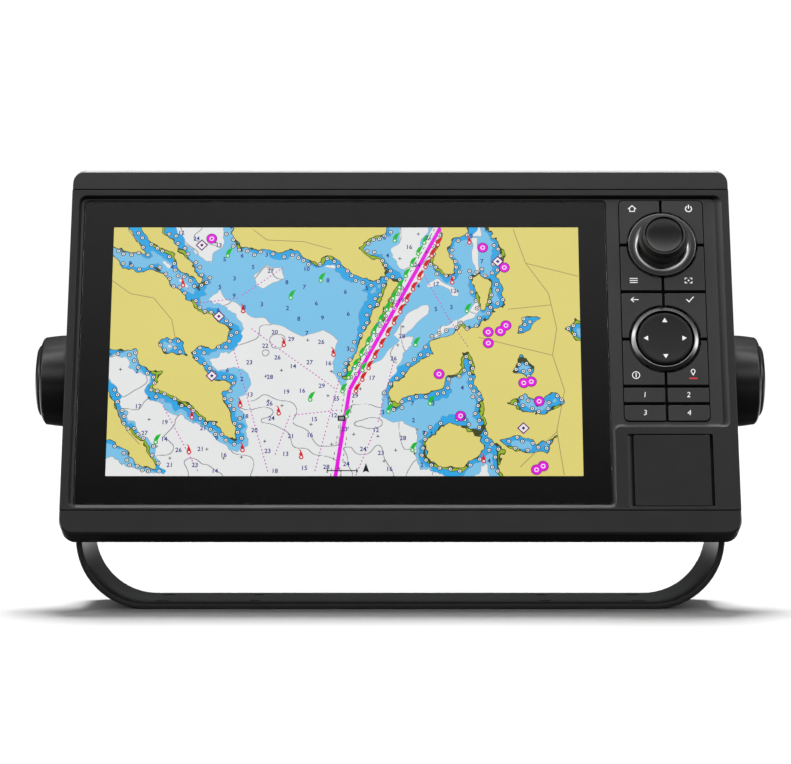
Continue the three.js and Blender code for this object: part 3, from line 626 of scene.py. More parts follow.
def key_outline(row, column, box):
    """A key's outline; the first four rows are cut round the knob or the pad."""
    sharp, round_corner = 0.6, 2.4
    if row > 3:
        radii = [sharp] * 4
        if row == 5:
            radii[column] = round_corner
        return rounded(bordered(box, 0), radii)
    dial_z = KNOB_Z if row < 2 else PAD_Z
    flip_x = 1 if column == 0 else -1
    flip_z = 1 if row % 2 else -1
    u0, u1 = sorted((flip_x * box.left, flip_x * box.right))
    w0, w1 = sorted((flip_z * box.bottom, flip_z * box.top))
    cu, cw = flip_x * DIAL_X, flip_z * dial_z
    on_side = cw - math.sqrt(DIAL_CLEAR**2 - (u1 - cu) ** 2)
    on_top = cu - math.sqrt(DIAL_CLEAR**2 - (w1 - cw) ** 2)
    start = math.atan2(on_side - cw, u1 - cu) % (2 * math.pi)
    end = math.atan2(w1 - cw, on_top - cu) % (2 * math.pi)
    steps = 24
    arc = [(cu + DIAL_CLEAR * math.cos(start + (end - start) * k / steps),
            cw + DIAL_CLEAR * math.sin(start + (end - start) * k / steps)) for k in range(1, steps)]
    far = round_corner if row == 0 else sharp
    corners = [(u0, w0), (u1, w0), (u1, on_side), *arc, (on_top, w1), (u0, w1)]
    radii = [far, sharp, 0.35, *[0] * len(arc), 0.35, sharp]
    outline = [(flip_x * u, flip_z * w) for u, w in rounded(corners, radii)]
    return outline if flip_x * flip_z > 0 else outline[::-1]


def keys():
    for row, names in enumerate(KEY_ROWS):
        for column, name in enumerate(names):
            box = span("key_" + name)
            shell = Shell()
            shell.prism(key_outline(row, column, box), box.front, box.back, 0.45)
            piece(f"{name}_key", shell, [KEY_PLASTIC], f"key_{name}_cap", [f"key_{name}"])


# ---- Legends ----------------------------------------------------------------------------
PRINT_DEPTH = 0.03


class Print(Shell):
    """Flat printed marks, each a thin plate just proud of a face at depth y."""

    def __init__(self, y, thick=PRINT_DEPTH):
        super().__init__()
        self.y, self.thick = y, thick

    def patch(self, outline, slot=0, lift=0.0):
        front, back = (self.loop(outline, self.y - lift - self.thick), self.loop(outline, self.y - lift))
        self.wall(front, back, slot)
        self.cap(front, slot=slot)
        self.cap(back, slot=slot)

    def stroke(self, points, width, slot=0, lift=0.0):
        for (x0, z0), (x1, z1) in zip(points, points[1:]):
            length = math.hypot(x1 - x0, z1 - z0)
            along = ((x1 - x0) / length * width / 2, (z1 - z0) / length * width / 2)
            side = (-along[1], along[0])
            self.patch([(x0 - along[0] - side[0], z0 - along[1] - side[1]),
                        (x1 + along[0] - side[0], z1 + along[1] - side[1]),
                        (x1 + along[0] + side[0], z1 + along[1] + side[1]),
                        (x0 - along[0] + side[0], z0 - along[1] + side[1])], slot, lift)

    def ring(self, x, z, radius, width, start=0.0, end=360.0, slot=0, lift=0.0):
        steps = max(6, int((end - start) / 12))
        turn = [math.radians(start + (end - start) * k / steps) for k in range(steps + 1)]
        for a, b in zip(turn, turn[1:]):
            inner, outer = radius - width / 2, radius + width / 2
            self.patch([(x + outer * math.cos(a), z + outer * math.sin(a)),
                        (x + outer * math.cos(b), z + outer * math.sin(b)),
                        (x + inner * math.cos(b), z + inner * math.sin(b)),
                        (x + inner * math.cos(a), z + inner * math.sin(a))], slot, lift)

    def disc(self, x, z, radius, slot=0, lift=0.0, count=20):
        self.patch(circle(x, z, radius, count), slot, lift)

    def numeral(self, text, x, z, height, slot=0, slant=0.0, lift=0.0, weight=0.0):
        """Digits from the built-in font, centred on (x, z)."""
        curve = bpy.data.curves.new("digits", "FONT")
        curve.body, curve.align_x, curve.align_y = text, "CENTER", "CENTER"
        curve.size, curve.shear, curve.offset = height * 1.4, slant, weight
        curve.resolution_u = 2
        holder = bpy.data.objects.new("digits", curve)
        mesh = bpy.data.meshes.new_from_object(holder)
        numbers = self.add((x + v.co.x, self.y - lift - self.thick, z + v.co.y) for v in mesh.vertices)
        for polygon in mesh.polygons:
            self.face([numbers[i] for i in polygon.vertices], slot)
        bpy.data.objects.remove(holder)
        bpy.data.curves.remove(curve)
        bpy.data.meshes.remove(mesh)


def legend_home(mark, x, z):
    mark.stroke([(x - 1.9, z - 0.1), (x, z + 1.6), (x + 1.9, z - 0.1)], 0.42)
    mark.stroke([(x - 1.2, z - 0.1), (x - 1.2, z - 1.5), (x + 1.2, z - 1.5), (x + 1.2, z - 0.1)], 0.42)


def legend_power(mark, x, z):
    mark.ring(x, z - 0.1, 1.55, 0.5, 120, 420)
    mark.stroke([(x, z + 0.2), (x, z + 1.9)], 0.5)


def legend_menu(mark, x, z):
    for row in (-1.1, 0, 1.1):
        mark.stroke([(x - 1.8, z + row), (x + 1.8, z + row)], 0.42)


def legend_focus(mark, x, z):
    reach, arm = 1.7, 0.9
    for sx in (-1, 1):
        for sz in (-1, 1):
            mark.stroke([(x + sx * (reach - arm), z + sz * 1.3), (x + sx * reach, z + sz * 1.3),
                         (x + sx * reach, z + sz * (1.3 - arm * 0.7))], 0.38)
    mark.disc(x, z, 0.45)


def legend_back(mark, x, z):
    mark.stroke([(x + 1.8, z), (x - 1.6, z)], 0.42)
    mark.stroke([(x - 0.5, z + 1.1), (x - 1.7, z), (x - 0.5, z - 1.1)], 0.42)


def legend_select(mark, x, z):
    mark.stroke([(x - 1.6, z + 0.1), (x - 0.4, z - 1.1), (x + 1.8, z + 1.4)], 0.46)


def legend_info(mark, x, z):
    mark.ring(x, z, 1.8, 0.36)
    mark.stroke([(x, z - 0.95), (x, z + 0.25)], 0.46)
    mark.disc(x, z + 0.95, 0.28)


def legend_mark(mark, x, z):
    mark.ring(x, z + 0.9, 0.95, 0.42, -40, 220)
    mark.stroke([(x - 0.75, z + 0.3), (x, z - 1.1), (x + 0.75, z + 0.3)], 0.42)
    mark.stroke([(x - 1.7, z - 2.9), (x + 1.7, z - 2.9)], 0.75, slot=1)


def legends():
    """Picture legends and numerals, each printed on its own key."""
    drawings = {
        "home": (legend_home, 6.6, -4.4), "power": (legend_power, 13.5, -4.4),
        "menu": (legend_menu, 6.4, 5.4), "focus": (legend_focus, 12.2, 5.4),
        "back": (legend_back, 6.5, -3.6), "select": (legend_select, 12.5, -3.6),
        "info": (legend_info, 6.2, 5.2), "mark": (legend_mark, 12.9, 6.4),
    }
    for name, (draw, right, up) in drawings.items():
        box = span("key_" + name)
        mark = Print(box.front)
        draw(mark, box.left + right, (box.top if up < 0 else box.bottom) + up)
        piece(f"{name}_legend", mark, [PRINT_WHITE, PRINT_RED], f"key_{name}_cap")
    for digit, name in enumerate(("one", "two", "three", "four"), 1):
        box = span("key_" + name)
        mark = Print(box.front)
        x, z = middle(box)
        mark.numeral(str(digit), x, z, 2.8, slant=0.12)
        piece(f"{name}_legend", mark, [PRINT_WHITE], f"key_{name}_cap", flat=True)


# ---- Knob and direction pad -------------------------------------------------------------
def knob_group():
    ring = Shell()
    lip, floor = RING.front, FLOOR + 0.2
    shank, outer, bright = 12.95, 17, 14.3
    profile = [(shank, RING.back), (16.6, RING.back), (16.6, floor), (outer, floor - 0.4),
               (outer, lip + 0.45), (16.85, lip + 0.2), (16.6, lip + 0.1), (16.3, lip + 0.07),
               (14.6, lip), (14.0, lip + 0.03), (13.5, lip + 0.18), (13.1, lip + 0.35),
               (12.6, lip + 0.65), (12.0, lip + 1.2), (11.4, lip + 2.1), (11.0, lip + 3.2),
               (11.0, lip + 3.8), (shank, lip + 3.8)]
    ring.turned(softened(profile, 0.1, True), DIAL_X, KNOB_Z, sides=96, closed=True)
    # the outer band, beyond the bright crest, gets the darker copy of the chrome as painted shade
    for k, face in enumerate(ring.faces):
        x, _, z = ring.centre(face)
        if math.hypot(x - DIAL_X, z - KNOB_Z) > bright:
            ring.slots[k] = 1
    piece("knob_surround", ring, [GLOSS, SHADED_CHROME], "display", ["knob_ring"], sharp=50)
    knob = Shell()
    radius, front = KNOB.right - DIAL_X, KNOB.front
    shaft, seat, mouth = 3.3, CAP.back + 0.3, CAP.right - DIAL_X + GAP
    waist, rim = radius - 2.2, radius - 1.1
    profile = [(shaft, KNOB.back), (waist, KNOB.back), (waist + 0.3, front + 8), (radius, front + 5.6),
               (radius, front + 4.4), (rim + 0.1, front + 3.6), (rim, front + 2.2),
               (rim - 0.9, front + 0.15), (mouth + 0.15, front + 0.3), (mouth, front + 0.9),
               (mouth, seat), (shaft, seat)]
    radii = [0.1, 0.5, 1.5, 0.6, 0.5, 0.3, 1.2, 0.6, 0.2, 0.1, 0.1, 0.1]
    knob.turned(rounded(profile, radii, 4), DIAL_X, KNOB_Z, sides=96, closed=True)
    for k, face in enumerate(knob.faces):
        x, y, z = knob.centre(face)
        if math.hypot(x - DIAL_X, z - KNOB_Z) < mouth + 0.1 and y > front + 0.4:
            knob.slots[k] = 1
    grip = piece("knob_grip", knob, [KNOB_PLASTIC, PRINT_BLACK], "knob",
                 ["control_knob"], sharp=50)
    cap = Shell()
    reach, steps, sunk = CAP.right - DIAL_X, 8, 0.9
    hollow = [(reach * k / steps, CAP.front + 0.1 + sunk * (1 - (k / steps) ** 2)) for k in range(steps)]
    cap.turned([*hollow, (reach - 0.35, CAP.front + 0.05), (reach, CAP.front + 0.35), (reach, CAP.back),
                (0, CAP.back)], DIAL_X, KNOB_Z, sides=96)
    dish = piece("knob_dish", cap, [CAP_PLASTIC], "knob", ["knob_cap"], sharp=50)
    # the surround's lip mirrors the light above the knob
    grip.visible_glossy = dish.visible_glossy = False


def pad_group():
    ring = Shell()
    crest, floor = PAD_RING.front, FLOOR + 0.2
    ring.turned(softened([(14.45, PAD_RING.back), (16.6, PAD_RING.back), (16.6, floor), (17, floor - 0.4),
                          (16.9, floor - 0.7), (16.5, crest + 0.85), (15.0, crest), (14.7, crest + 0.1),
                          (14.45, crest + 0.6)], 0.25, True),
                DIAL_X, PAD_Z, sides=96, closed=True)
    piece("pad_surround", ring, [GLOSS], "display", ["pad_ring"], sharp=50)
    pad = Shell()
    radius = PAD.right - DIAL_X
    front = PAD.front
    pad.turned([(0, front + 0.75), (4, front + 0.72), (8, front + 0.55), (radius - 3, front + 0.25),
                (radius - 2, front + 0.05), (radius - 1.4, front), (radius - 0.8, front + 0.1),
                (radius - 0.3, front + 0.45), (radius, front + 1.1), (radius, PAD.back), (0, PAD.back)],
               DIAL_X, PAD_Z, sides=96)
    piece("pad_disc", pad, [PAD_PLASTIC], "pad", ["direction_pad"], sharp=50)
    arrows = Shell()
    tip, base, wide = (10.7, front + 0.27), (8.5, front + 0.47), 1.3
    for turn in range(4):
        a = math.pi / 2 * turn
        out, side = (math.cos(a), math.sin(a)), (-math.sin(a), math.cos(a))
        faces = []
        for lift in (-0.03, 0.24):
            faces.append(arrows.add(
                (DIAL_X + r * out[0] + s * side[0], y + lift, PAD_Z + r * out[1] + s * side[1])
                for (r, y), s in ((tip, 0), (base, wide), (base, -wide))))
            arrows.face(faces[-1])
        arrows.wall(*faces)
    piece("pad_arrows", arrows, [PRINT_WHITE], "pad")


# ---- Card door --------------------------------------------------------------------------
def card_door():
    shell = Shell()
    pin = (DOOR.back - DOOR.front) / 2
    outline = rounded(bordered(DOOR, 0), [1, 0.3, 0.3, 1])
    pairs = [(d, DOOR.front + y) for d, y in fillet(0.4)]
    pairs += [(d, DOOR.back - y) for d, y in reversed(fillet(pin * 0.5))]
    first, last = shell.levels(outline, pairs)
    shell.cap(first)
    shell.cap(last)
    piece("door_leaf", shell, [DOOR_PLASTIC], "door", ["card_door"])


# ---- Rear -------------------------------------------------------------------------------
def rear_housing():
    shell = Shell()
    flange_half, flange_bottom, flange_top = 155, -86, 95
    half, bottom, top, corner, edge = 150, -77, 86, 10, 6.5
    front, step, back = HOUSING.front, -16, HOUSING.back
    flange = rounded(rectangle(-flange_half, flange_half, flange_bottom, flange_top), 8)
    tub = rounded(rectangle(-half, half, bottom, top), corner)
    loops = [shell.loop(inset(flange, d), front + y) for d, y in fillet(0.5)]
    loops += [shell.loop(inset(flange, d), step - y) for d, y in reversed(fillet(0.8))]
    loops += [shell.loop(inset(tub, -1.0), step), shell.loop(inset(tub, -0.3), step + 0.3),
              shell.loop(tub, step + 1.0)]
    loops += [shell.loop(inset(tub, d), back - y) for d, y in reversed(fillet(edge, 8))]
    shell.walls(loops)
    bay = rounded(rectangle(-112, 104, -66, -22), 6)
    bay_floor = 11.5  # where the sockets stand
    bay_loops = [shell.loop(inset(bay, -0.8), back), shell.loop(inset(bay, -0.25), back - 0.3),
                 shell.loop(bay, back - 0.9), shell.loop(bay, bay_floor + 0.4),
                 shell.loop(inset(bay, 0.4), bay_floor)]
    shell.walls(bay_loops)
    shell.cap(bay_loops[-1])
    grooves = []
    pitch, groove_half = 11, 2.5
    for n in range(-10, 11):
        x = pitch * n
        groove = rounded(rectangle(x - groove_half, x + groove_half, -8, 72), 1.2, 4)
        mouth, foot = shell.levels(groove, [(-0.5, back), (-0.12, back - 0.2), (0, back - 0.6),
                                            (0, back - 3.5), (0.5, back - 4)])
        shell.cap(foot)
        grooves.append(mouth)
    shell.cap(loops[-1], [bay_loops[0], *grooves])
    inner = rounded(rectangle(-half + 3, half - 3, bottom + 3, top - 3), corner - 3)
    inner_front, inner_back = shell.levels(inner, [(0, front), (0, 8.5)])
    shell.cap(loops[0], [inner_front])
    shell.cap(inner_back)
    housing = piece("housing_shell", shell, [HOUSING_PLASTIC], "display", ["rear_housing"])
    bosses = []
    for side in (-1, 1):
        boss = Shell()
        boss.turned(softened([(0, side * 138), (11, side * 138), (15, side * 147), (15, side * 154.9),
                              (14.4, side * 155.5), (0, side * 155.5)], 0.25), sides=64, along="x")
        bosses.append(cutter_of(boss, LOCAL))
    carve(housing, bosses, "UNION")


def screws():
    for n in range(1, 7):
        box = span(f"housing_screw_{n}")
        x, z = middle(box)
        head, back = (box.right - box.left) / 2, box.back
        seat = back - 2.2
        shell = Shell()
        shell.turned([(0, box.front), (1.2, box.front), (1.5, box.front + 0.4), (1.5, seat), (head, seat),
                      (head, seat + 1.0), (head * 0.96, seat + 1.4), (head * 0.8, back - 0.35),
                      (head * 0.5, back - 0.08), (0, back)], x, z, sides=48)
        screw = piece(f"screw_{n}", shell, [STEEL], "display", [f"housing_screw_{n}"])
        cross = []
        for wide, tall in ((3.2, 0.7), (0.7, 3.2)):
            slot = Shell()
            outline = rectangle(x - wide / 2, x + wide / 2, z - tall / 2, z + tall / 2)
            slot.prism(outline, seat + 0.9, back + 2, 0.0)
            cross.append(cutter_of(slot, LOCAL))
        carve(screw, cross)


def sockets():
    pins = {"power_socket": 4, "network_socket_1": 5, "network_socket_2": 5, "data_socket": 7,
            "sonar_socket": 12, "video_socket": 8}
    for name, count in pins.items():
        box = span(name)
        x, z = middle(box)
        floor, collar, bore, bore_floor = 11.8, 9.5, 7.8, 13.6
        shell = Shell()
        hexagon = rounded(circle(x, z, box.right - x, 6), 0.8, 4)
        shell.prism(hexagon, floor, floor + 1.6, 0.1, 0.35)
        profile = [(bore, bore_floor), (bore, box.back - 0.5), (bore + 0.4, box.back),
                   (collar - 0.5, box.back)]
        ridge = box.back - 0.6
        root = collar - 0.45
        while ridge > floor + 2.6:
            profile += [(root, ridge), (collar, ridge - 0.35), (collar, ridge - 0.65), (root, ridge - 1.0)]
            ridge -= 1.15
        profile += [(root, floor + 1.0), (bore, floor + 1.0)]
        shell.turned(profile, x, z, sides=64, closed=True)
        shell.prism(circle(x, z, bore - 0.02, 40), floor + 1.2, bore_floor + 0.6, 0.0, 0.2)
        keyway = rounded(rectangle(x - 1, x + 1, z + bore - 1.6, z + bore - 0.1), 0.3)
        shell.prism(keyway, bore_floor, box.back - 0.8, 0.0, 0.2)
        inner_ring = min(count, 8)
        places = circle(x, z, 4.6 if count > 4 else 3.4, inner_ring, math.pi / inner_ring)
        places += circle(x, z, 2.0, count - inner_ring) if count > inner_ring else []
        for px, pz in places:
            shell.turned([(0, bore_floor), (0.5, bore_floor), (0.5, bore_floor + 4),
                          (0.25, bore_floor + 4.4), (0, bore_floor + 4.5)], px, pz, sides=12, slot=1)
        piece(name + "_body", shell, [SOCKET_PLASTIC, BRASS], "display", [name])


def vent():
    box = span("vent_plug")
    x, z = middle(box)
    radius = box.right - x
    shell = Shell()
    seat = box.back - 2.4
    shell.turned([(0, box.front), (4, box.front), (4, seat), (radius, seat), (radius, box.back - 0.8),
                  (radius - 0.3, box.back - 0.25), (radius - 0.8, box.back), (3.4, box.back),
                  (3.1, box.back - 0.5), (1.0, box.back - 0.5), (0.8, box.back - 1.0), (0, box.back - 1.0)],
                 x, z, sides=48)
    piece("vent_cover", shell, [RUBBER], "display", ["vent_plug"])


# ---- Bracket and clamp knobs ------------------------------------------------------------
BRACKET = span("mounting_bracket", WORLD)
CLAMP = span("clamp_knob_right", WORLD)
PIVOT_Z = PIVOT.z / MM
HOLE_ROWS = (-17.9, 20.5)
AT_PIVOT = Matrix.Translation((0, 0, PIVOT.z)) @ WORLD


def bracket_stations():
    """(outer point, inner point, half depth) along the strip, from the left arm to the right."""
    outer, thick, bend = BRACKET.right, 3.0, 35.0
    deep, narrow, taper_from = BRACKET.back, 20.5, 40.0
    right = []
    for k in range(4):
        right.append(((outer - bend) * k / 3, 0.0, 0.0, 1.0))
    for k in range(1, 17):
        a = math.pi / 2 * k / 16
        out, up = math.sin(a), math.cos(a)
        right.append((outer - bend + bend * out, bend - bend * up, out, up))
    for z in (taper_from, 60.0, 85.0, PIVOT_Z):
        right.append((outer, z, 1.0, 0.0))
    for k in range(1, 18):
        a = math.radians(88.5) * k / 17
        right.append((outer, PIVOT_Z + narrow * math.sin(a), 1.0, 0.0))
    stations = []
    for x, z, out, up in right:
        if z <= taper_from:
            half = deep
        elif z <= PIVOT_Z:
            half = deep + (narrow - deep) * (z - taper_from) / (PIVOT_Z - taper_from)
        else:
            half = math.sqrt(max(0.3, narrow**2 - (z - PIVOT_Z) ** 2))
        stations.append(((x, z), (x - thick * out, z + thick * up), half))
    mirrored = [((-a[0], a[1]), (-b[0], b[1]), h) for a, b, h in reversed(stations[1:])]
    return mirrored + stations


def base_hole(x, y, reach, radius):
    """Cutter for a hole in the base, a slot if its two ends reach out to the sides."""
    hole = Shell()
    outline = []
    for sign in (1, -1):
        turn = [math.radians(180 * k / 12 - sign * 90) for k in range(13)]
        outline += [(x + sign * reach + radius * math.cos(a), y + radius * math.sin(a)) for a in turn]
    low, high = (hole.add((u, w, z) for u, w in outline) for z in (-3, 8))
    hole.wall(low, high)
    hole.face(low)
    hole.face(high)
    return cutter_of(hole, WORLD)


def mounting_bracket():
    shell = Shell()
    rings = []
    edge = 0.7
    for outer, inner, half in bracket_stations():
        side = Vector((inner[0] - outer[0], inner[1] - outer[1]))
        thick = side.length
        section = rounded(rectangle(0, thick, -half, half), min(edge, half * 0.4), 3)
        rings.append(shell.add(
            (outer[0] + side.x * u / thick, y, outer[1] + side.y * u / thick) for u, y in section))
    shell.walls(rings)
    shell.face(rings[0])
    shell.face(rings[-1])
    bracket = piece("bracket_strap", shell, [BRACKET_PAINT], "bracket",
                    ["mounting_bracket"], WORLD)
    cutters = []
    slot, round_hole = (119, 1.15, 2.6), (72.6, 0.0, 3.0)
    for side in (-1, 1):
        for y in HOLE_ROWS:
            cutters += [base_hole(side * x, y, reach, radius) for x, reach, radius in (slot, round_hole)]
        bore = Shell()
        bore.turned([(0, side * 150), (4.6, side * 150), (4.6, side * 170), (0, side * 170)],
                    along="x", sides=32)
        cutters.append(cutter_of(bore, AT_PIVOT))
    carve(bracket, cutters)


def clamp_knobs():
    """Side clamp knobs: a seven-sided soft grip, an inset line and a low dome."""
    hub_end, rim_in, face = 161.1, 166.8, CLAMP.right
    profile = [(0, hub_end), (13.7, hub_end), (14, hub_end + 0.3), (14, rim_in), (22.5, rim_in),
               (23.2, rim_in + 0.7), (23.2, rim_in + 4), (22.8, rim_in + 8), (22.2, face - 4.7),
               (21.9, face - 4.3), (21.2, face - 3.6), (19.9, face - 3.05), (19.2, face - 3.0),
               (18.9, face - 3.25), (18.5, face - 3.25), (18.2, face - 2.6), (17.6, face - 1.6),
               (16.4, face - 0.9), (13, face - 0.35), (8, face - 0.08), (0, face)]
    lobes = 7

    def grip(angle, reach):
        """The radius is drawn in a little in the middle of each of the lobes."""
        if not rim_in + 0.2 < abs(reach) < face - 3.2:
            return 1.0
        place = (angle * lobes / (2 * math.pi) + 0.5) % 1 - 0.5
        flat = 0.024 * (1 - math.cos(2 * math.pi * place / lobes))
        return 1 - flat - 0.022 * (1 - abs(place) * 2) ** 2

    for side, name in ((-1, "left"), (1, "right")):
        shell = Shell()
        shell.turned([(radius, side * reach) for radius, reach in profile], sides=112, along="x", grip=grip)
        piece(f"clamp_grip_{name}", shell, [CLAMP_PLASTIC], f"clamp_{name}",
              [f"clamp_knob_{name}"], sharp=40)
        washer = Shell()
        section = [(5, side * 155.8), (15, side * 155.8), (15, side * 157.5), (5, side * 157.5)]
        washer.turned(softened(section, 0.3, True), sides=64, along="x", closed=True)
        piece(f"washer_{name}", washer, [RUBBER], "bracket", [f"friction_washer_{name}"],
              AT_PIVOT)


# ---- CAD pieces that stay as they are ---------------------------------------------------
def carried_over():
    finishes = {
        "glass_seal": RUBBER, "lcd_backlight": DIFFUSER, "keypad_membrane": RUBBER, "keypad_board": BOARD,
        "encoder_shaft": STEEL, "rotary_encoder": STEEL, "pad_carrier": SOCKET_PLASTIC,
        "door_hinge_pin": STEEL, "door_seal": RUBBER, "card_reader": SOCKET_PLASTIC,
        "housing_gasket": RUBBER, "main_board": BOARD, "gps_antenna": CERAMIC,
        "pivot_insert_left": BRASS, "pivot_insert_right": BRASS, "knob_stud_left": STEEL,
        "knob_stud_right": STEEL,
    }
    for node, material in finishes.items():
        mesh = frame["nodes"][node].data
        mesh.materials.clear()
        mesh.materials.append(material)


# ---- Chart picture ----------------------------------------------------------------------
# A coastal chart, drawn in chart units: 100 across the lit screen. The listed outlines, lines and
# symbol places were read off the photographed screen and scaled, so they follow its coast. The
# fine detail of the coast, the depths, the rocks and the buoys are generated.
CHART_WIDE = 100.0
UNIT = (SCREEN.right - SCREEN.left) / CHART_WIDE
CHART_HIGH = (SCREEN.top - SCREEN.bottom) / UNIT
CELL = 0.22
LAYER = 0.012  # depth between two colours of the picture
CHART_SEED = 11
LAND = [
    [(-2, 51), (2.4, 47.3), (5.4, 46.2), (8.4, 46.2), (11.6, 44.2), (14.3, 41.4), (16.5, 39), (18.5, 36.9),
     (21.7, 35.2), (24.7, 34.1), (25.5, 32), (25, 30), (23, 29), (19.6, 28.6), (16.7, 27.9), (18, 26),
     (19.8, 24.2), (21.7, 21.7), (26, 20.3), (24.2, 18.2), (25, 15.4), (26.6, 12.4), (27.2, 8.2),
     (24.7, 8.9), (24, 10.9), (19.8, 13.4), (17.2, 16.1), (14.6, 16.8), (10, 19.9), (11.3, 23.4),
     (6.4, 24.8), (5.7, 27.9), (-2, 28)],
    [(-2, 21), (0.9, 17.6), (3.2, 12), (5.4, 8.9), (8.7, 6.1), (10, 2), (6.7, 2.7), (4.8, 5.8), (2.1, 7.5),
     (-2, 9)],
    [(6.4, 54.9), (8.5, 53), (13.2, 50.3), (14.9, 46.7), (17, 44.5), (18.5, 42.9), (20.2, 43.8),
     (18.3, 46.3), (16, 49), (14, 51.2), (12.3, 53.5), (10.6, 55.3), (10, 58), (5, 58)],
    [(-2, 52.5), (3, 50.5), (6.5, 50.3), (4.8, 53.5), (2.2, 58), (-2, 58)],
    [(26, 58), (26, 53.5), (27.5, 52), (31, 51), (36, 51), (40, 50.5), (41.5, 49), (44, 48.5), (46, 50),
     (50, 47.2), (51.9, 45.5), (54.9, 44.1), (57.2, 44.6), (58.3, 46.4), (56.5, 49), (52.6, 51.2),
     (55, 53.5), (58, 55), (59, 58)],
    [(59.2, 43.8), (57.4, 39.5), (54.6, 33.5), (52.1, 27.2), (49.9, 22.3), (50.6, 22), (53.3, 26.8),
     (56.2, 33), (58.9, 38.6), (60.8, 43.4)],
    [(69.6, 52.4), (70.2, 50), (68.5, 48.3), (70.9, 46.2), (73.1, 45.8), (72.8, 48.5), (71.5, 50.7),
     (72.5, 52.7), (75.7, 55.5), (77, 58), (71, 58), (70.6, 54.6)],
    [(80.2, 58), (82.6, 53), (83.8, 49.4), (82.9, 44.8), (83.8, 41), (84.5, 38.2), (81.3, 36.8),
     (80.2, 35.4), (78, 33.4), (72.8, 32), (68.2, 29.9), (68.9, 27.2), (65.6, 25.5), (63, 23),
     (60.7, 20.6), (59.8, 18.3),
     (61.1, 16.1), (63.6, 17.8), (68.2, 18.5), (70.9, 19.6), (71.5, 21.7), (74, 23), (74.4, 26.2),
     (76.2, 28.4), (77.6, 24.5), (77.1, 20.2), (79.4, 17.6), (78.6, 13.6), (80.6, 9.2), (83.4, 5.6),
     (82.6, 2.2), (84, -2), (102, -2), (102, 58)],
    [(73 + 5.9 * math.cos(math.radians(a)), 6.6 + 4.6 * math.sin(math.radians(a)))
     for a in range(0, 360, 24)],
    [(8.1, 25.6), (10.8, 24.7), (12.6, 25.3), (10.2, 26.4)],
    [(78.8, 46.2), (80.7, 43.6), (80.4, 40.1), (79.4, 37.6), (78.9, 40.6), (77.8, 43.6), (77.2, 45.4)],
]
INLETS = [
    [(84.5, 16), (88, 18.4), (91.6, 16.6), (94.8, 18.9), (96.2, 16.2), (92, 13.4), (87.4, 14.4)],
    [(87, 27.6), (90, 24.4), (89, 21.8), (85.6, 23.4)],
    [(82.2, 8), (86.4, 9.4), (90.5, 7), (94.4, 9), (92.6, 5.2), (86, 5.4)],
    [(96.4, 33), (99, 35.2), (102, 34), (102, 29.6), (98.6, 30.6)],
    [(10.2, 31.4), (15.6, 29.8), (16.2, 27), (11.4, 27.4)],
    [(86.2, 31.4), (88, 35.2), (91.4, 35.4), (89, 32.6)],
]
SHALLOWS = [
    [(21, 45), (22, 50), (26, 53), (36, 50), (42, 48), (50, 46.5), (54, 43), (56, 36.5), (52, 27.4),
     (50, 25), (48.6, 30.2), (45.4, 33.4), (41, 31.4), (36.4, 33.4), (31, 35.6), (28, 37.4), (24, 41)],
    [(57.6, 36), (61.6, 43), (66.2, 43), (68, 46.6), (75, 47), (76, 54), (81, 54), (82.4, 47), (82, 40),
     (80, 36), (75, 33.6), (68, 31.6), (62, 30.6), (58.6, 27.2), (55.6, 24.6), (53.6, 26)],
    [(60.4, 15.4), (66, 17), (71, 18.6), (75.6, 23.6), (77.4, 18), (76.6, 12.6), (71, 12.4), (66, 10.4),
     (62.4, 11.6)],
]
CHANNELS = [
    [(30.4, 45.4), (33, 47.6), (36.2, 47), (37.4, 44.4), (34.6, 43.6), (32.4, 42.2), (30.4, 42.6)],
    [(61.6, 30.4), (65.2, 34.2), (68, 36.2), (67.4, 38.2), (64.6, 37.8), (62, 34.4), (60.2, 31.6)],
    [(66.4, 42.2), (69.4, 44.4), (73.4, 42.4), (74, 40.4), (73, 40.6), (72.4, 42), (69.4, 43)],
    [(77.2, 53.6), (78, 53.6), (78.8, 44.6), (79.4, 38.6), (77.4, 35.6), (72.4, 32.8), (68.8, 31),
     (70.4, 33.4), (76, 36.4), (78, 39.4), (77.6, 45)],
]
ROUTE = [(48.1, -0.2), (51, 19.2), (55.2, 27.4), (62.8, 41.8), (70.3, 56.2)]
HARBOURS = [(79.4, 51.6), (84, 47), (80.4, 32.2), (83, 32.4), (84.2, 33.7), (80.4, 29.7), (69.9, 22.7),
            (87.8, 20.7), (89.4, 21), (91, 16.6), (74.4, 13.3), (90.2, 1.4), (91.6, 2.2), (21.1, 53.7)]
CAUTIONS = [(23, 35.8), (21.8, 22.3), (19, 52.2), (82.6, 48.4), (87.6, 10.6)]
FERRY_LINES = [
    [(10.9, 17), (19.8, 0.2)], [(26.3, 28.3), (34.2, 0.2)], [(30, 33), (36, 28.3), (48.5, 19)],
    [(48.9, 22), (46, 10), (43.6, 0.2)], [(48.4, 14.6), (38.4, 13.4), (35.2, 4)], [(66.4, 46), (73, 33.4)],
    [(36.6, 47), (27, 40), (17.5, 38.6)], [(52.4, 0.2), (57, 12), (60.4, 26)], [(71.6, 36), (76.6, 28)],
]
ROADS = [
    [(0, 44), (4, 41), (9, 40), (13, 35), (14, 30)], [(3, 55.8), (5.4, 52.8)],
    [(86, 55.9), (88.6, 48), (93.4, 41), (95, 33), (94, 27), (96.4, 19), (94.6, 10), (96, 0.2)],
    [(88.6, 48), (99.8, 45)], [(84.6, 37.4), (93.8, 38.4)],
    [(30, 55.8), (33, 53.4), (41, 53), (47, 51.2)], [(93.8, 27), (86, 29), (78.4, 31)],
    [(94.8, 10), (86.8, 2)], [(2, 15), (4.2, 10), (7, 7)],
]
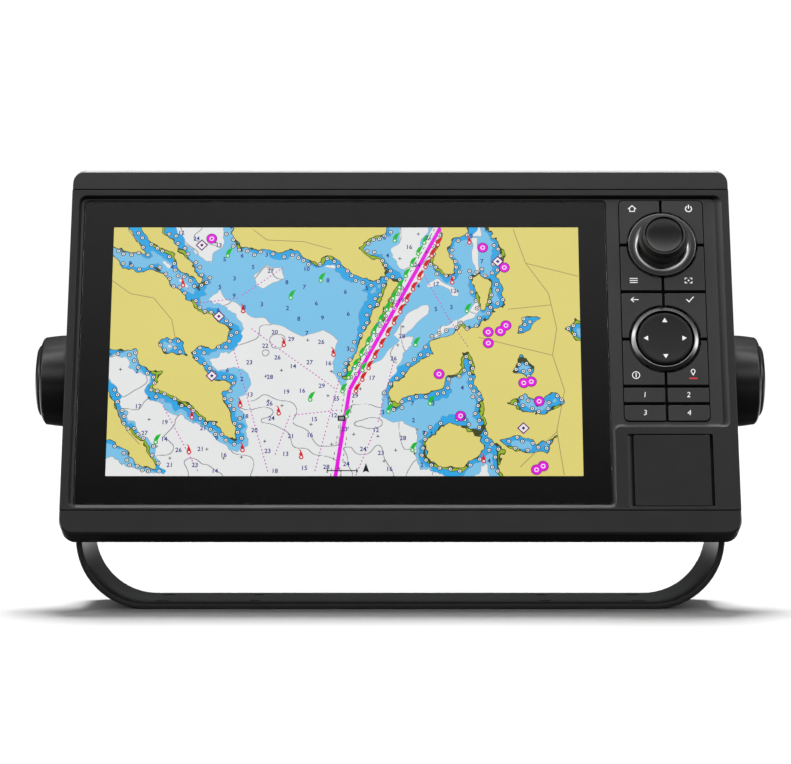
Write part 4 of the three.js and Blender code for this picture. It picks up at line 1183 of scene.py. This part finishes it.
CHART_COLOURS = [
    lit("chart deep water", (238, 239, 239)), lit("chart contour", (150, 152, 158)),
    lit("chart shelving water", (128, 200, 239)), lit("chart shoal water", (51, 172, 236)),
    lit("chart shoreline", (66, 74, 36)), lit("chart drying land", (156, 190, 44)),
    lit("chart land", (230, 217, 125)), lit("chart navy ink", (44, 40, 140)),
    lit("chart black ink", (24, 24, 30)), lit("chart white ink", (248, 248, 248)),
    lit("chart magenta ink", (238, 20, 232)), lit("chart purple ink", (112, 26, 120)),
    lit("chart red ink", (214, 26, 32)), lit("chart green ink", (22, 190, 54)),
    lit("chart pink ink", (205, 70, 190)), lit("chart road ink", (168, 148, 104)),
]
(DEEP, CONTOUR, SHELVING, SHOAL, SHORE, DRYING, GROUND, NAVY, BLACK, WHITE, MAGENTA, PURPLE,
 RED, GREEN, PINK, ROAD) = range(len(CHART_COLOURS))


def signed_distance(u, w, polygon):
    """Distance of every grid point from a closed outline, positive inside it."""
    nearest = np.full(u.shape, 1e9)
    inside = np.zeros(u.shape, bool)
    for (x0, z0), (x1, z1) in zip(polygon, polygon[1:] + polygon[:1]):
        dx, dz = x1 - x0, z1 - z0
        t = np.clip(((u - x0) * dx + (w - z0) * dz) / (dx * dx + dz * dz), 0, 1)
        nearest = np.minimum(nearest, np.hypot(u - x0 - t * dx, w - z0 - t * dz))
        if dz:
            inside ^= ((z0 > w) != (z1 > w)) & (u < dx * (w - z0) / dz + x0)
    return np.where(inside, nearest, -nearest)


def union_distance(u, w, polygons):
    return np.max([signed_distance(u, w, p) for p in polygons], axis=0)


def ripples(u, w, size, seed):
    """Smooth random values from -1 to 1 that change over the given size."""
    table = np.random.default_rng(seed).uniform(-1, 1, (int(110 / size) + 4, int(70 / size) + 4))
    gu, gw = u / size + 1, w / size + 1
    i, j = gu.astype(int), gw.astype(int)
    fu, fw = gu - i, gw - j
    fu, fw = fu * fu * (3 - 2 * fu), fw * fw * (3 - 2 * fw)
    low = table[i, j] * (1 - fu) + table[i + 1, j] * fu
    high = table[i, j + 1] * (1 - fu) + table[i + 1, j + 1] * fu
    return low * (1 - fw) + high * fw


class Picture(Print):
    """Colour layers and marks of the chart, in chart units."""

    def loop(self, outline, y):
        return self.add((SCREEN.left + u * UNIT, y, SCREEN.bottom + w * UNIT) for u, w in outline)

    def numeral(self, text, u, w, height, slot, layer, weight):
        x, z = SCREEN.left + u * UNIT, SCREEN.bottom + w * UNIT
        super().numeral(text, x, z, height, slot, lift=layer * LAYER, weight=weight)

    def sheet(self, outline, slot, layer):
        self.face(self.loop(outline, self.y - layer * LAYER), slot)

    def region(self, field, slot, layer):
        """Fills where the field is positive: whole cells in runs, cut cells as polygons."""
        on = field > 0
        count = on[:-1, :-1].astype(int) + on[1:, :-1] + on[:-1, 1:] + on[1:, 1:]
        for j in range(count.shape[1]):
            full = np.concatenate([[0], (count[:, j] == 4).astype(int), [0]])
            turn = np.flatnonzero(np.diff(full))
            for a, b in zip(turn[::2], turn[1::2]):
                self.sheet(rectangle(a * CELL, b * CELL, j * CELL, (j + 1) * CELL), slot, layer)
        for i, j in zip(*np.nonzero((count > 0) & (count < 4))):
            corners = [(i, j), (i + 1, j), (i + 1, j + 1), (i, j + 1)]
            outline = []
            for a, b in zip(corners, corners[1:] + corners[:1]):
                fa, fb = field[a], field[b]
                if fa > 0:
                    outline.append((a[0] * CELL, a[1] * CELL))
                if (fa > 0) != (fb > 0):
                    t = fa / (fa - fb)
                    outline.append([(a[axis] + t * (b[axis] - a[axis])) * CELL for axis in (0, 1)])
            self.sheet(outline, slot, layer)

    def dashes(self, line, width, dash, gap, slot, layer):
        for (u0, w0), (u1, w1) in zip(line, line[1:]):
            length = math.hypot(u1 - u0, w1 - w0)
            for k in range(int(length / (dash + gap))):
                ends = (k * (dash + gap) / length, (k * (dash + gap) + dash) / length)
                self.line([(u0 + (u1 - u0) * t, w0 + (w1 - w0) * t) for t in ends], width, slot, layer)

    def line(self, points, width, slot, layer):
        for (u0, w0), (u1, w1) in zip(points, points[1:]):
            length = math.hypot(u1 - u0, w1 - w0)
            su, sw = -(w1 - w0) / length * width / 2, (u1 - u0) / length * width / 2
            corners = [(u0 - su, w0 - sw), (u1 - su, w1 - sw), (u1 + su, w1 + sw), (u0 + su, w0 + sw)]
            self.sheet(corners, slot, layer)

    def dot(self, u, w, radius, slot, layer, count=14):
        self.sheet(circle(u, w, radius, count), slot, layer)


def chart_fields():
    steps_u = int(round(CHART_WIDE / CELL)) + 1
    steps_w = int(round(CHART_HIGH / CELL)) + 1
    u, w = np.meshgrid(np.arange(steps_u) * CELL, np.arange(steps_w) * CELL, indexing="ij")
    rough = sum(a * ripples(u, w, s, CHART_SEED + n)
                for n, (a, s) in enumerate([(0.55, 2.4), (0.4, 1.1), (0.22, 0.55)]))
    shore = union_distance(u, w, LAND)
    water = union_distance(u, w, INLETS)
    land = np.minimum(shore, -water) + rough
    drying = np.minimum(land + 0.65, ripples(u, w, 5.0, CHART_SEED + 7) * 1.6 - 0.35)
    shoal = np.minimum(land, 0.5) + 1.35 + 1.5 * ripples(u, w, 4.5, CHART_SEED + 8) + 0.3 * rough
    shelving = np.minimum(land, 0.5) + 2.6 + 1.8 * ripples(u, w, 7.0, CHART_SEED + 9)
    shallows = union_distance(u, w, SHALLOWS) + 0.8 * ripples(u, w, 3.0, CHART_SEED + 10)
    shelving = np.maximum(shelving, shallows)
    deep = union_distance(u, w, CHANNELS) + 0.5 * ripples(u, w, 1.8, CHART_SEED + 12)
    legs = [[a, b, (a[0] + 0.01, a[1])] for a, b in zip(ROUTE, ROUTE[1:])]
    route = union_distance(u, w, legs)
    deep = np.maximum(deep, route + 1.5)
    shelving, shoal = np.minimum(shelving, -deep), np.minimum(shoal, -deep)
    bank = ripples(u, w, 11.0, CHART_SEED + 13) + 0.25 * ripples(u, w, 3.0, CHART_SEED + 14)
    slope = np.hypot(*np.gradient(bank, CELL)) + 0.01
    line = np.min([np.abs(bank - level) for level in (-0.35, 0.15)], axis=0) / slope
    contour = np.minimum(0.1 - line, -shelving)
    return u, w, land, drying, shoal, shelving, contour


def scattered(u, w, mask, spacing, limit, seed):
    """Grid points from a mask, chosen at random and kept apart."""
    rows, columns = np.nonzero(mask)
    order = np.random.default_rng(seed).permutation(len(rows))
    kept = []
    for k in order:
        point = (float(u[rows[k], columns[k]]), float(w[rows[k], columns[k]]))
        if all((point[0] - a) ** 2 + (point[1] - b) ** 2 > spacing**2 for a, b in kept):
            kept.append(point)
        if len(kept) == limit:
            break
    return kept


def buoy(picture, u, w, slot, lean):
    body = [(u - 0.5, w + 0.5), (u + 0.4, w + 0.4), (u + 1.1 * lean, w + 1.9), (u + 0.1 * lean, w + 1.5)]
    picture.sheet(body, slot, 14)
    picture.dot(u, w, 0.5, slot, 14)
    picture.dot(u, w, 0.24, WHITE, 15)


def along_route(distance, side):
    """A point beside the route line, by distance from its lower end."""
    for (u0, w0), (u1, w1) in zip(ROUTE, ROUTE[1:]):
        length = math.hypot(u1 - u0, w1 - w0)
        if distance <= length:
            t, away = distance / length, side / length
            return u0 + (u1 - u0) * t + (w1 - w0) * away, w0 + (w1 - w0) * t - (u1 - u0) * away
        distance -= length
    return None


def chart_marks(picture, u, w, land, shelving):
    margin = (u > 1) & (u < CHART_WIDE - 1) & (w > 1) & (w < CHART_HIGH - 1)
    for x, z in scattered(u, w, margin & (land < -0.4) & (land > -1.4), 1.2, 330, CHART_SEED + 20):
        picture.dot(x, z, 0.5, BLACK, 11)
        picture.dot(x, z, 0.34, WHITE, 12)
        picture.dot(x, z, 0.15, BLACK, 13)
    for line in ROADS:
        picture.line(line, 0.16, ROAD, 11)
    for line in FERRY_LINES:
        picture.dashes(line, 0.22, 0.35, 0.45, PINK, 11)
    picture.line(ROUTE, 0.85, MAGENTA, 12)
    for side in (-1.0, 1.0):
        edge = [along_route(0.01 + 1.2 * k, side) for k in range(70)]
        picture.dashes([p for p in edge if p], 0.14, 0.6, 0.6, BLACK, 12)
    for k in range(15):
        for side, slot in ((-1.45, GREEN), (1.35, RED)):
            place = along_route(19 + 2.9 * k + (0.9 if side > 0 else 0), side)
            if place and place[1] < CHART_HIGH - 2:
                buoy(picture, *place, slot, 1)
    afloat = margin & (land < -1.6) & (u > 3)
    for n, place in enumerate(scattered(u, w, afloat, 6.5, 26, CHART_SEED + 21)):
        buoy(picture, *place, (GREEN, RED)[n % 2], (1, -0.6)[n % 2])
    for x, z in HARBOURS:
        picture.dot(x, z, 1.18, PURPLE, 14, 28)
        picture.dot(x, z, 1.02, MAGENTA, 15, 28)
        picture.dot(x, z, 0.5, WHITE, 16)
        picture.dot(x, z, 0.3, MAGENTA, 17)
    for x, z in CAUTIONS:
        for radius, slot, layer in ((1.35, PURPLE, 14), (1.0, WHITE, 15), (0.42, PURPLE, 16)):
            picture.sheet(circle(x, z, radius, 4), slot, layer)
    ink = margin & (land < -1.5) & (u > 2.5)
    depths = np.random.default_rng(CHART_SEED + 22)
    for x, z in scattered(u, w, ink, 3.3, 105, CHART_SEED + 23):
        i, j = int(round(x / CELL)), int(round(z / CELL))
        shallow = shelving[i, j] > 0
        value = int(depths.integers(2, 11) if shallow else depths.integers(12, 30))
        picture.numeral(str(value), x, z, 2.3, NAVY, 13, 0.06)
    for x, z in scattered(u, w, margin & (land < -2.2) & (shelving < 0), 3.0, 34, CHART_SEED + 24):
        picture.line([(x - 0.35, z), (x + 0.35, z)], 0.14, BLACK, 12)
        picture.line([(x, z - 0.35), (x, z + 0.35)], 0.14, BLACK, 12)
    picture.line([(46.4, 1.2), (52.6, 1.2)], 0.22, BLACK, 18)
    for x in (46.4, 52.6):
        picture.line([(x, 0.7), (x, 1.7)], 0.22, BLACK, 18)
    picture.sheet([(53.8, 0.8), (54.5, 1.1), (55.2, 0.8), (54.5, 2.9)], BLACK, 18)
    picture.sheet(rectangle(48.5, 50.1, 12.2, 13.4), BLACK, 18)
    picture.sheet(rectangle(48.8, 49.8, 12.5, 13.1), CONTOUR, 19)


def chart():
    """The panel behind the glass and the picture that it shows."""
    frame_shell = Shell()
    frame_shell.prism(bordered(PANEL, 0), PANEL.front, PANEL.back, 0.1)
    piece("screen_panel", frame_shell, [PRINT_BLACK], "display", ["lcd_panel"])
    picture = Picture(PANEL.front - 0.01)
    u, w, land, drying, shoal, shelving, contour = chart_fields()
    picture.sheet(rectangle(0, CHART_WIDE, 0, float(w.max())), DEEP, 0)
    layers = [(contour, CONTOUR), (shelving + 0.07, CONTOUR), (shelving, SHELVING),
              (shoal + 0.07, CONTOUR), (shoal, SHOAL), (drying + 0.16, SHORE), (drying, DRYING),
              (land + 0.2, SHORE), (land, GROUND)]
    for layer, (field, colour) in enumerate(layers, 1):
        picture.region(field, colour, layer)
    chart_marks(picture, u, w, land, shelving)
    piece("chart_picture", picture, CHART_COLOURS, "display", flat=True)


# ---- Studio -----------------------------------------------------------------------------
def camera():
    """A long lens 1.5 m in front, level with the middle of the display."""
    data = bpy.data.cameras.new("camera")
    data.lens, data.sensor_width = 134.1, 36.0
    data.shift_x, data.shift_y = -0.0061, -0.0152
    view = linked("camera", data)
    view.location = (0, -1.494, 0.1185)
    view.rotation_euler = (math.pi / 2, 0, 0)
    bpy.context.scene.camera = view


def softbox(name, place, aim, size, radiance, diffuse=True):
    data = bpy.data.lights.new(name, "AREA")
    data.shape, data.size, data.size_y = "RECTANGLE", size[0], size[1]
    data.energy = radiance * math.pi * size[0] * size[1]
    light = linked(name, data)
    light.location = place
    light.rotation_euler = (Vector(aim) - Vector(place)).to_track_quat("-Z", "Y").to_euler()
    light.visible_diffuse = diffuse
    return light


def studio():
    sun = bpy.data.lights.new("overhead", "SUN")
    sun.energy, sun.angle = 8.0, math.radians(20)
    top = linked("overhead", sun)
    top.rotation_euler = (math.radians(-26), 0, 0)
    top.visible_glossy = False
    object_middle = (0, 0, 0.12)
    near = softbox("front softbox", (0, -0.25, 0.65), object_middle, (0.9, 0.2), 1.6)
    for side in (-1, 1):
        softbox("side strip", (side * 1.8, -0.72, 1.2), object_middle, (0.5, 1.2), 5.0, diffuse=False)
    # a pale floor and a white backdrop, neither lighting the object
    floor_material, tree, shader = principled("studio floor")
    shader.inputs["Base Color"].default_value = (0.38, 0.38, 0.38, 1)
    shader.inputs["Roughness"].default_value = 0.9
    shader.inputs["Specular IOR Level"].default_value = 0.0
    mesh = bpy.data.meshes.new("floor")
    reach = 9.0
    mesh.from_pydata([(x, y, 0) for x, y in rectangle(-reach, reach, -reach, reach)], [], [(0, 1, 2, 3)])
    mesh.materials.append(floor_material)
    floor = linked("floor", mesh)
    dome_material = bpy.data.materials.new("studio backdrop")
    dome_material.use_nodes = True
    dome_tree = dome_material.node_tree
    dome_tree.nodes.clear()
    glow = dome_tree.nodes.new("ShaderNodeEmission")
    glow.inputs["Strength"].default_value = 1.05
    out = dome_tree.nodes.new("ShaderNodeOutputMaterial")
    dome_tree.links.new(glow.outputs["Emission"], out.inputs["Surface"])
    shell = Shell()
    radius, steps = 12, 24
    turn = [math.pi * k / steps for k in range(steps + 1)]
    shell.turned([(radius * math.sin(a), -radius * math.cos(a)) for a in turn], sides=48)
    dome_mesh = bpy.data.meshes.new("backdrop")
    dome_mesh.from_pydata(shell.points, [], shell.faces)
    dome_mesh.materials.append(dome_material)
    dome = linked("backdrop", dome_mesh)
    for obj in (floor, dome):
        obj.visible_diffuse = obj.visible_glossy = False
    dome.visible_shadow = False
    unlit = bpy.data.collections.new("not lit by the front softbox")
    unlit.objects.link(floor)
    near.light_linking.receiver_collection = unlit
    unlit.collection_objects[0].light_linking.link_state = "EXCLUDE"
    world()
    bpy.context.scene.view_settings.view_transform = "Standard"


def edge_lights(pieces):
    """Two lights above that shine on the given pieces alone and pick out their upper edges."""
    receivers = bpy.data.collections.new("lit by the edge lights")
    for obj in pieces:
        receivers.objects.link(obj)
    for place, radiance in (((0, 1.6, 2.0), 6.0), ((0, 0.22, 1.8), 8.0)):
        strip = softbox("edge light", place, (0, 0, 0.2), (2.4, 0.6), radiance, diffuse=False)
        strip.light_linking.receiver_collection = receivers


def grey_ramp(tree, factor, stops):
    """A grey that eases through the (place, value) stops of a factor from 0 to 1."""
    ramp = tree.nodes.new("ShaderNodeValToRGB")
    ramp.color_ramp.interpolation = "EASE"
    elements = ramp.color_ramp.elements
    while len(elements) < len(stops):
        elements.new(0.5)
    for element, (place, value) in zip(elements, stops):
        element.position, element.color = place, (value, value, value, 1)
    tree.links.new(factor, ramp.inputs["Fac"])
    return ramp.outputs["Color"]


def world():
    """A soft sky: a low card and a high softbox in front, a strong high light behind."""
    scene_world = bpy.data.worlds.new("studio")
    bpy.context.scene.world = scene_world
    scene_world.use_nodes = True
    tree = scene_world.node_tree
    background = tree.nodes["Background"]
    where = tree.nodes.new("ShaderNodeTexCoord")
    split = tree.nodes.new("ShaderNodeSeparateXYZ")
    tree.links.new(where.outputs["Generated"], split.inputs["Vector"])
    # brightness by the height looked in, from -1 straight down to 1 straight up
    front_sky = [(-1, 0.03), (0.05, 0.04), (0.2, 1.2), (0.44, 1.2), (0.53, 0.06), (0.58, 0.06),
                 (0.72, 0.5), (1, 0.6)]
    back_sky = [(-1, 0.05), (-0.3, 0.1), (-0.2, 1.6), (-0.04, 1.6), (0.01, 0.03), (0.5, 0.03),
                (0.8, 0.2), (1, 0.6)]
    height = map_range(tree, split.outputs["Z"], (-1, 1))
    front, back = (grey_ramp(tree, height, [((z + 1) / 2, grey) for z, grey in sky])
                   for sky in (front_sky, back_sky))
    side = map_range(tree, split.outputs["Y"], (-0.15, 0.15), easing="SMOOTHSTEP")
    blend = tree.nodes.new("ShaderNodeMix")
    blend.data_type = "RGBA"
    tree.links.new(side, blend.inputs["Factor"])
    tree.links.new(front, blend.inputs[6])
    tree.links.new(back, blend.inputs[7])
    # an arch of light round the direction that the face mirrors, bright in its upper half
    turned = tree.nodes.new("ShaderNodeVectorMath")
    turned.operation = "DOT_PRODUCT"
    turned.inputs[1].default_value = (0, -math.cos(2 * LEAN), math.sin(2 * LEAN))
    tree.links.new(where.outputs["Generated"], turned.inputs[0])
    arch = grey_ramp(tree, turned.outputs["Value"], [(0.66, 0), (0.70, 1), (0.75, 1), (0.79, 0)])
    high = map_range(tree, split.outputs["Z"], (0.3, 0.5), (0.0, 4.0))
    arched = tree.nodes.new("ShaderNodeVectorMath")
    arched.operation = "SCALE"
    tree.links.new(arch, arched.inputs[0])
    tree.links.new(high, arched.inputs["Scale"])
    total = tree.nodes.new("ShaderNodeVectorMath")
    tree.links.new(blend.outputs[2], total.inputs[0])
    tree.links.new(arched.outputs["Vector"], total.inputs[1])
    tree.links.new(total.outputs["Vector"], background.inputs["Color"])


# ---- Assembly ---------------------------------------------------------------------------
camera()
studio()
bezel = front_bezel()
top_cap = trim_cap("top_trim_cap", TOP_CAP.bottom, TOP_CAP.top, 2.0)
edge_lights([bezel, top_cap])
trim_cap("bottom_trim_cap", BOTTOM_CAP.top, BOTTOM_CAP.bottom, 0.9)
cover_glass()
chart()
keys()
legends()
knob_group()
pad_group()
card_door()
rear_housing()
screws()
sockets()
vent()
mounting_bracket()
clamp_knobs()
carried_over()

bpy.context.view_layer.update()
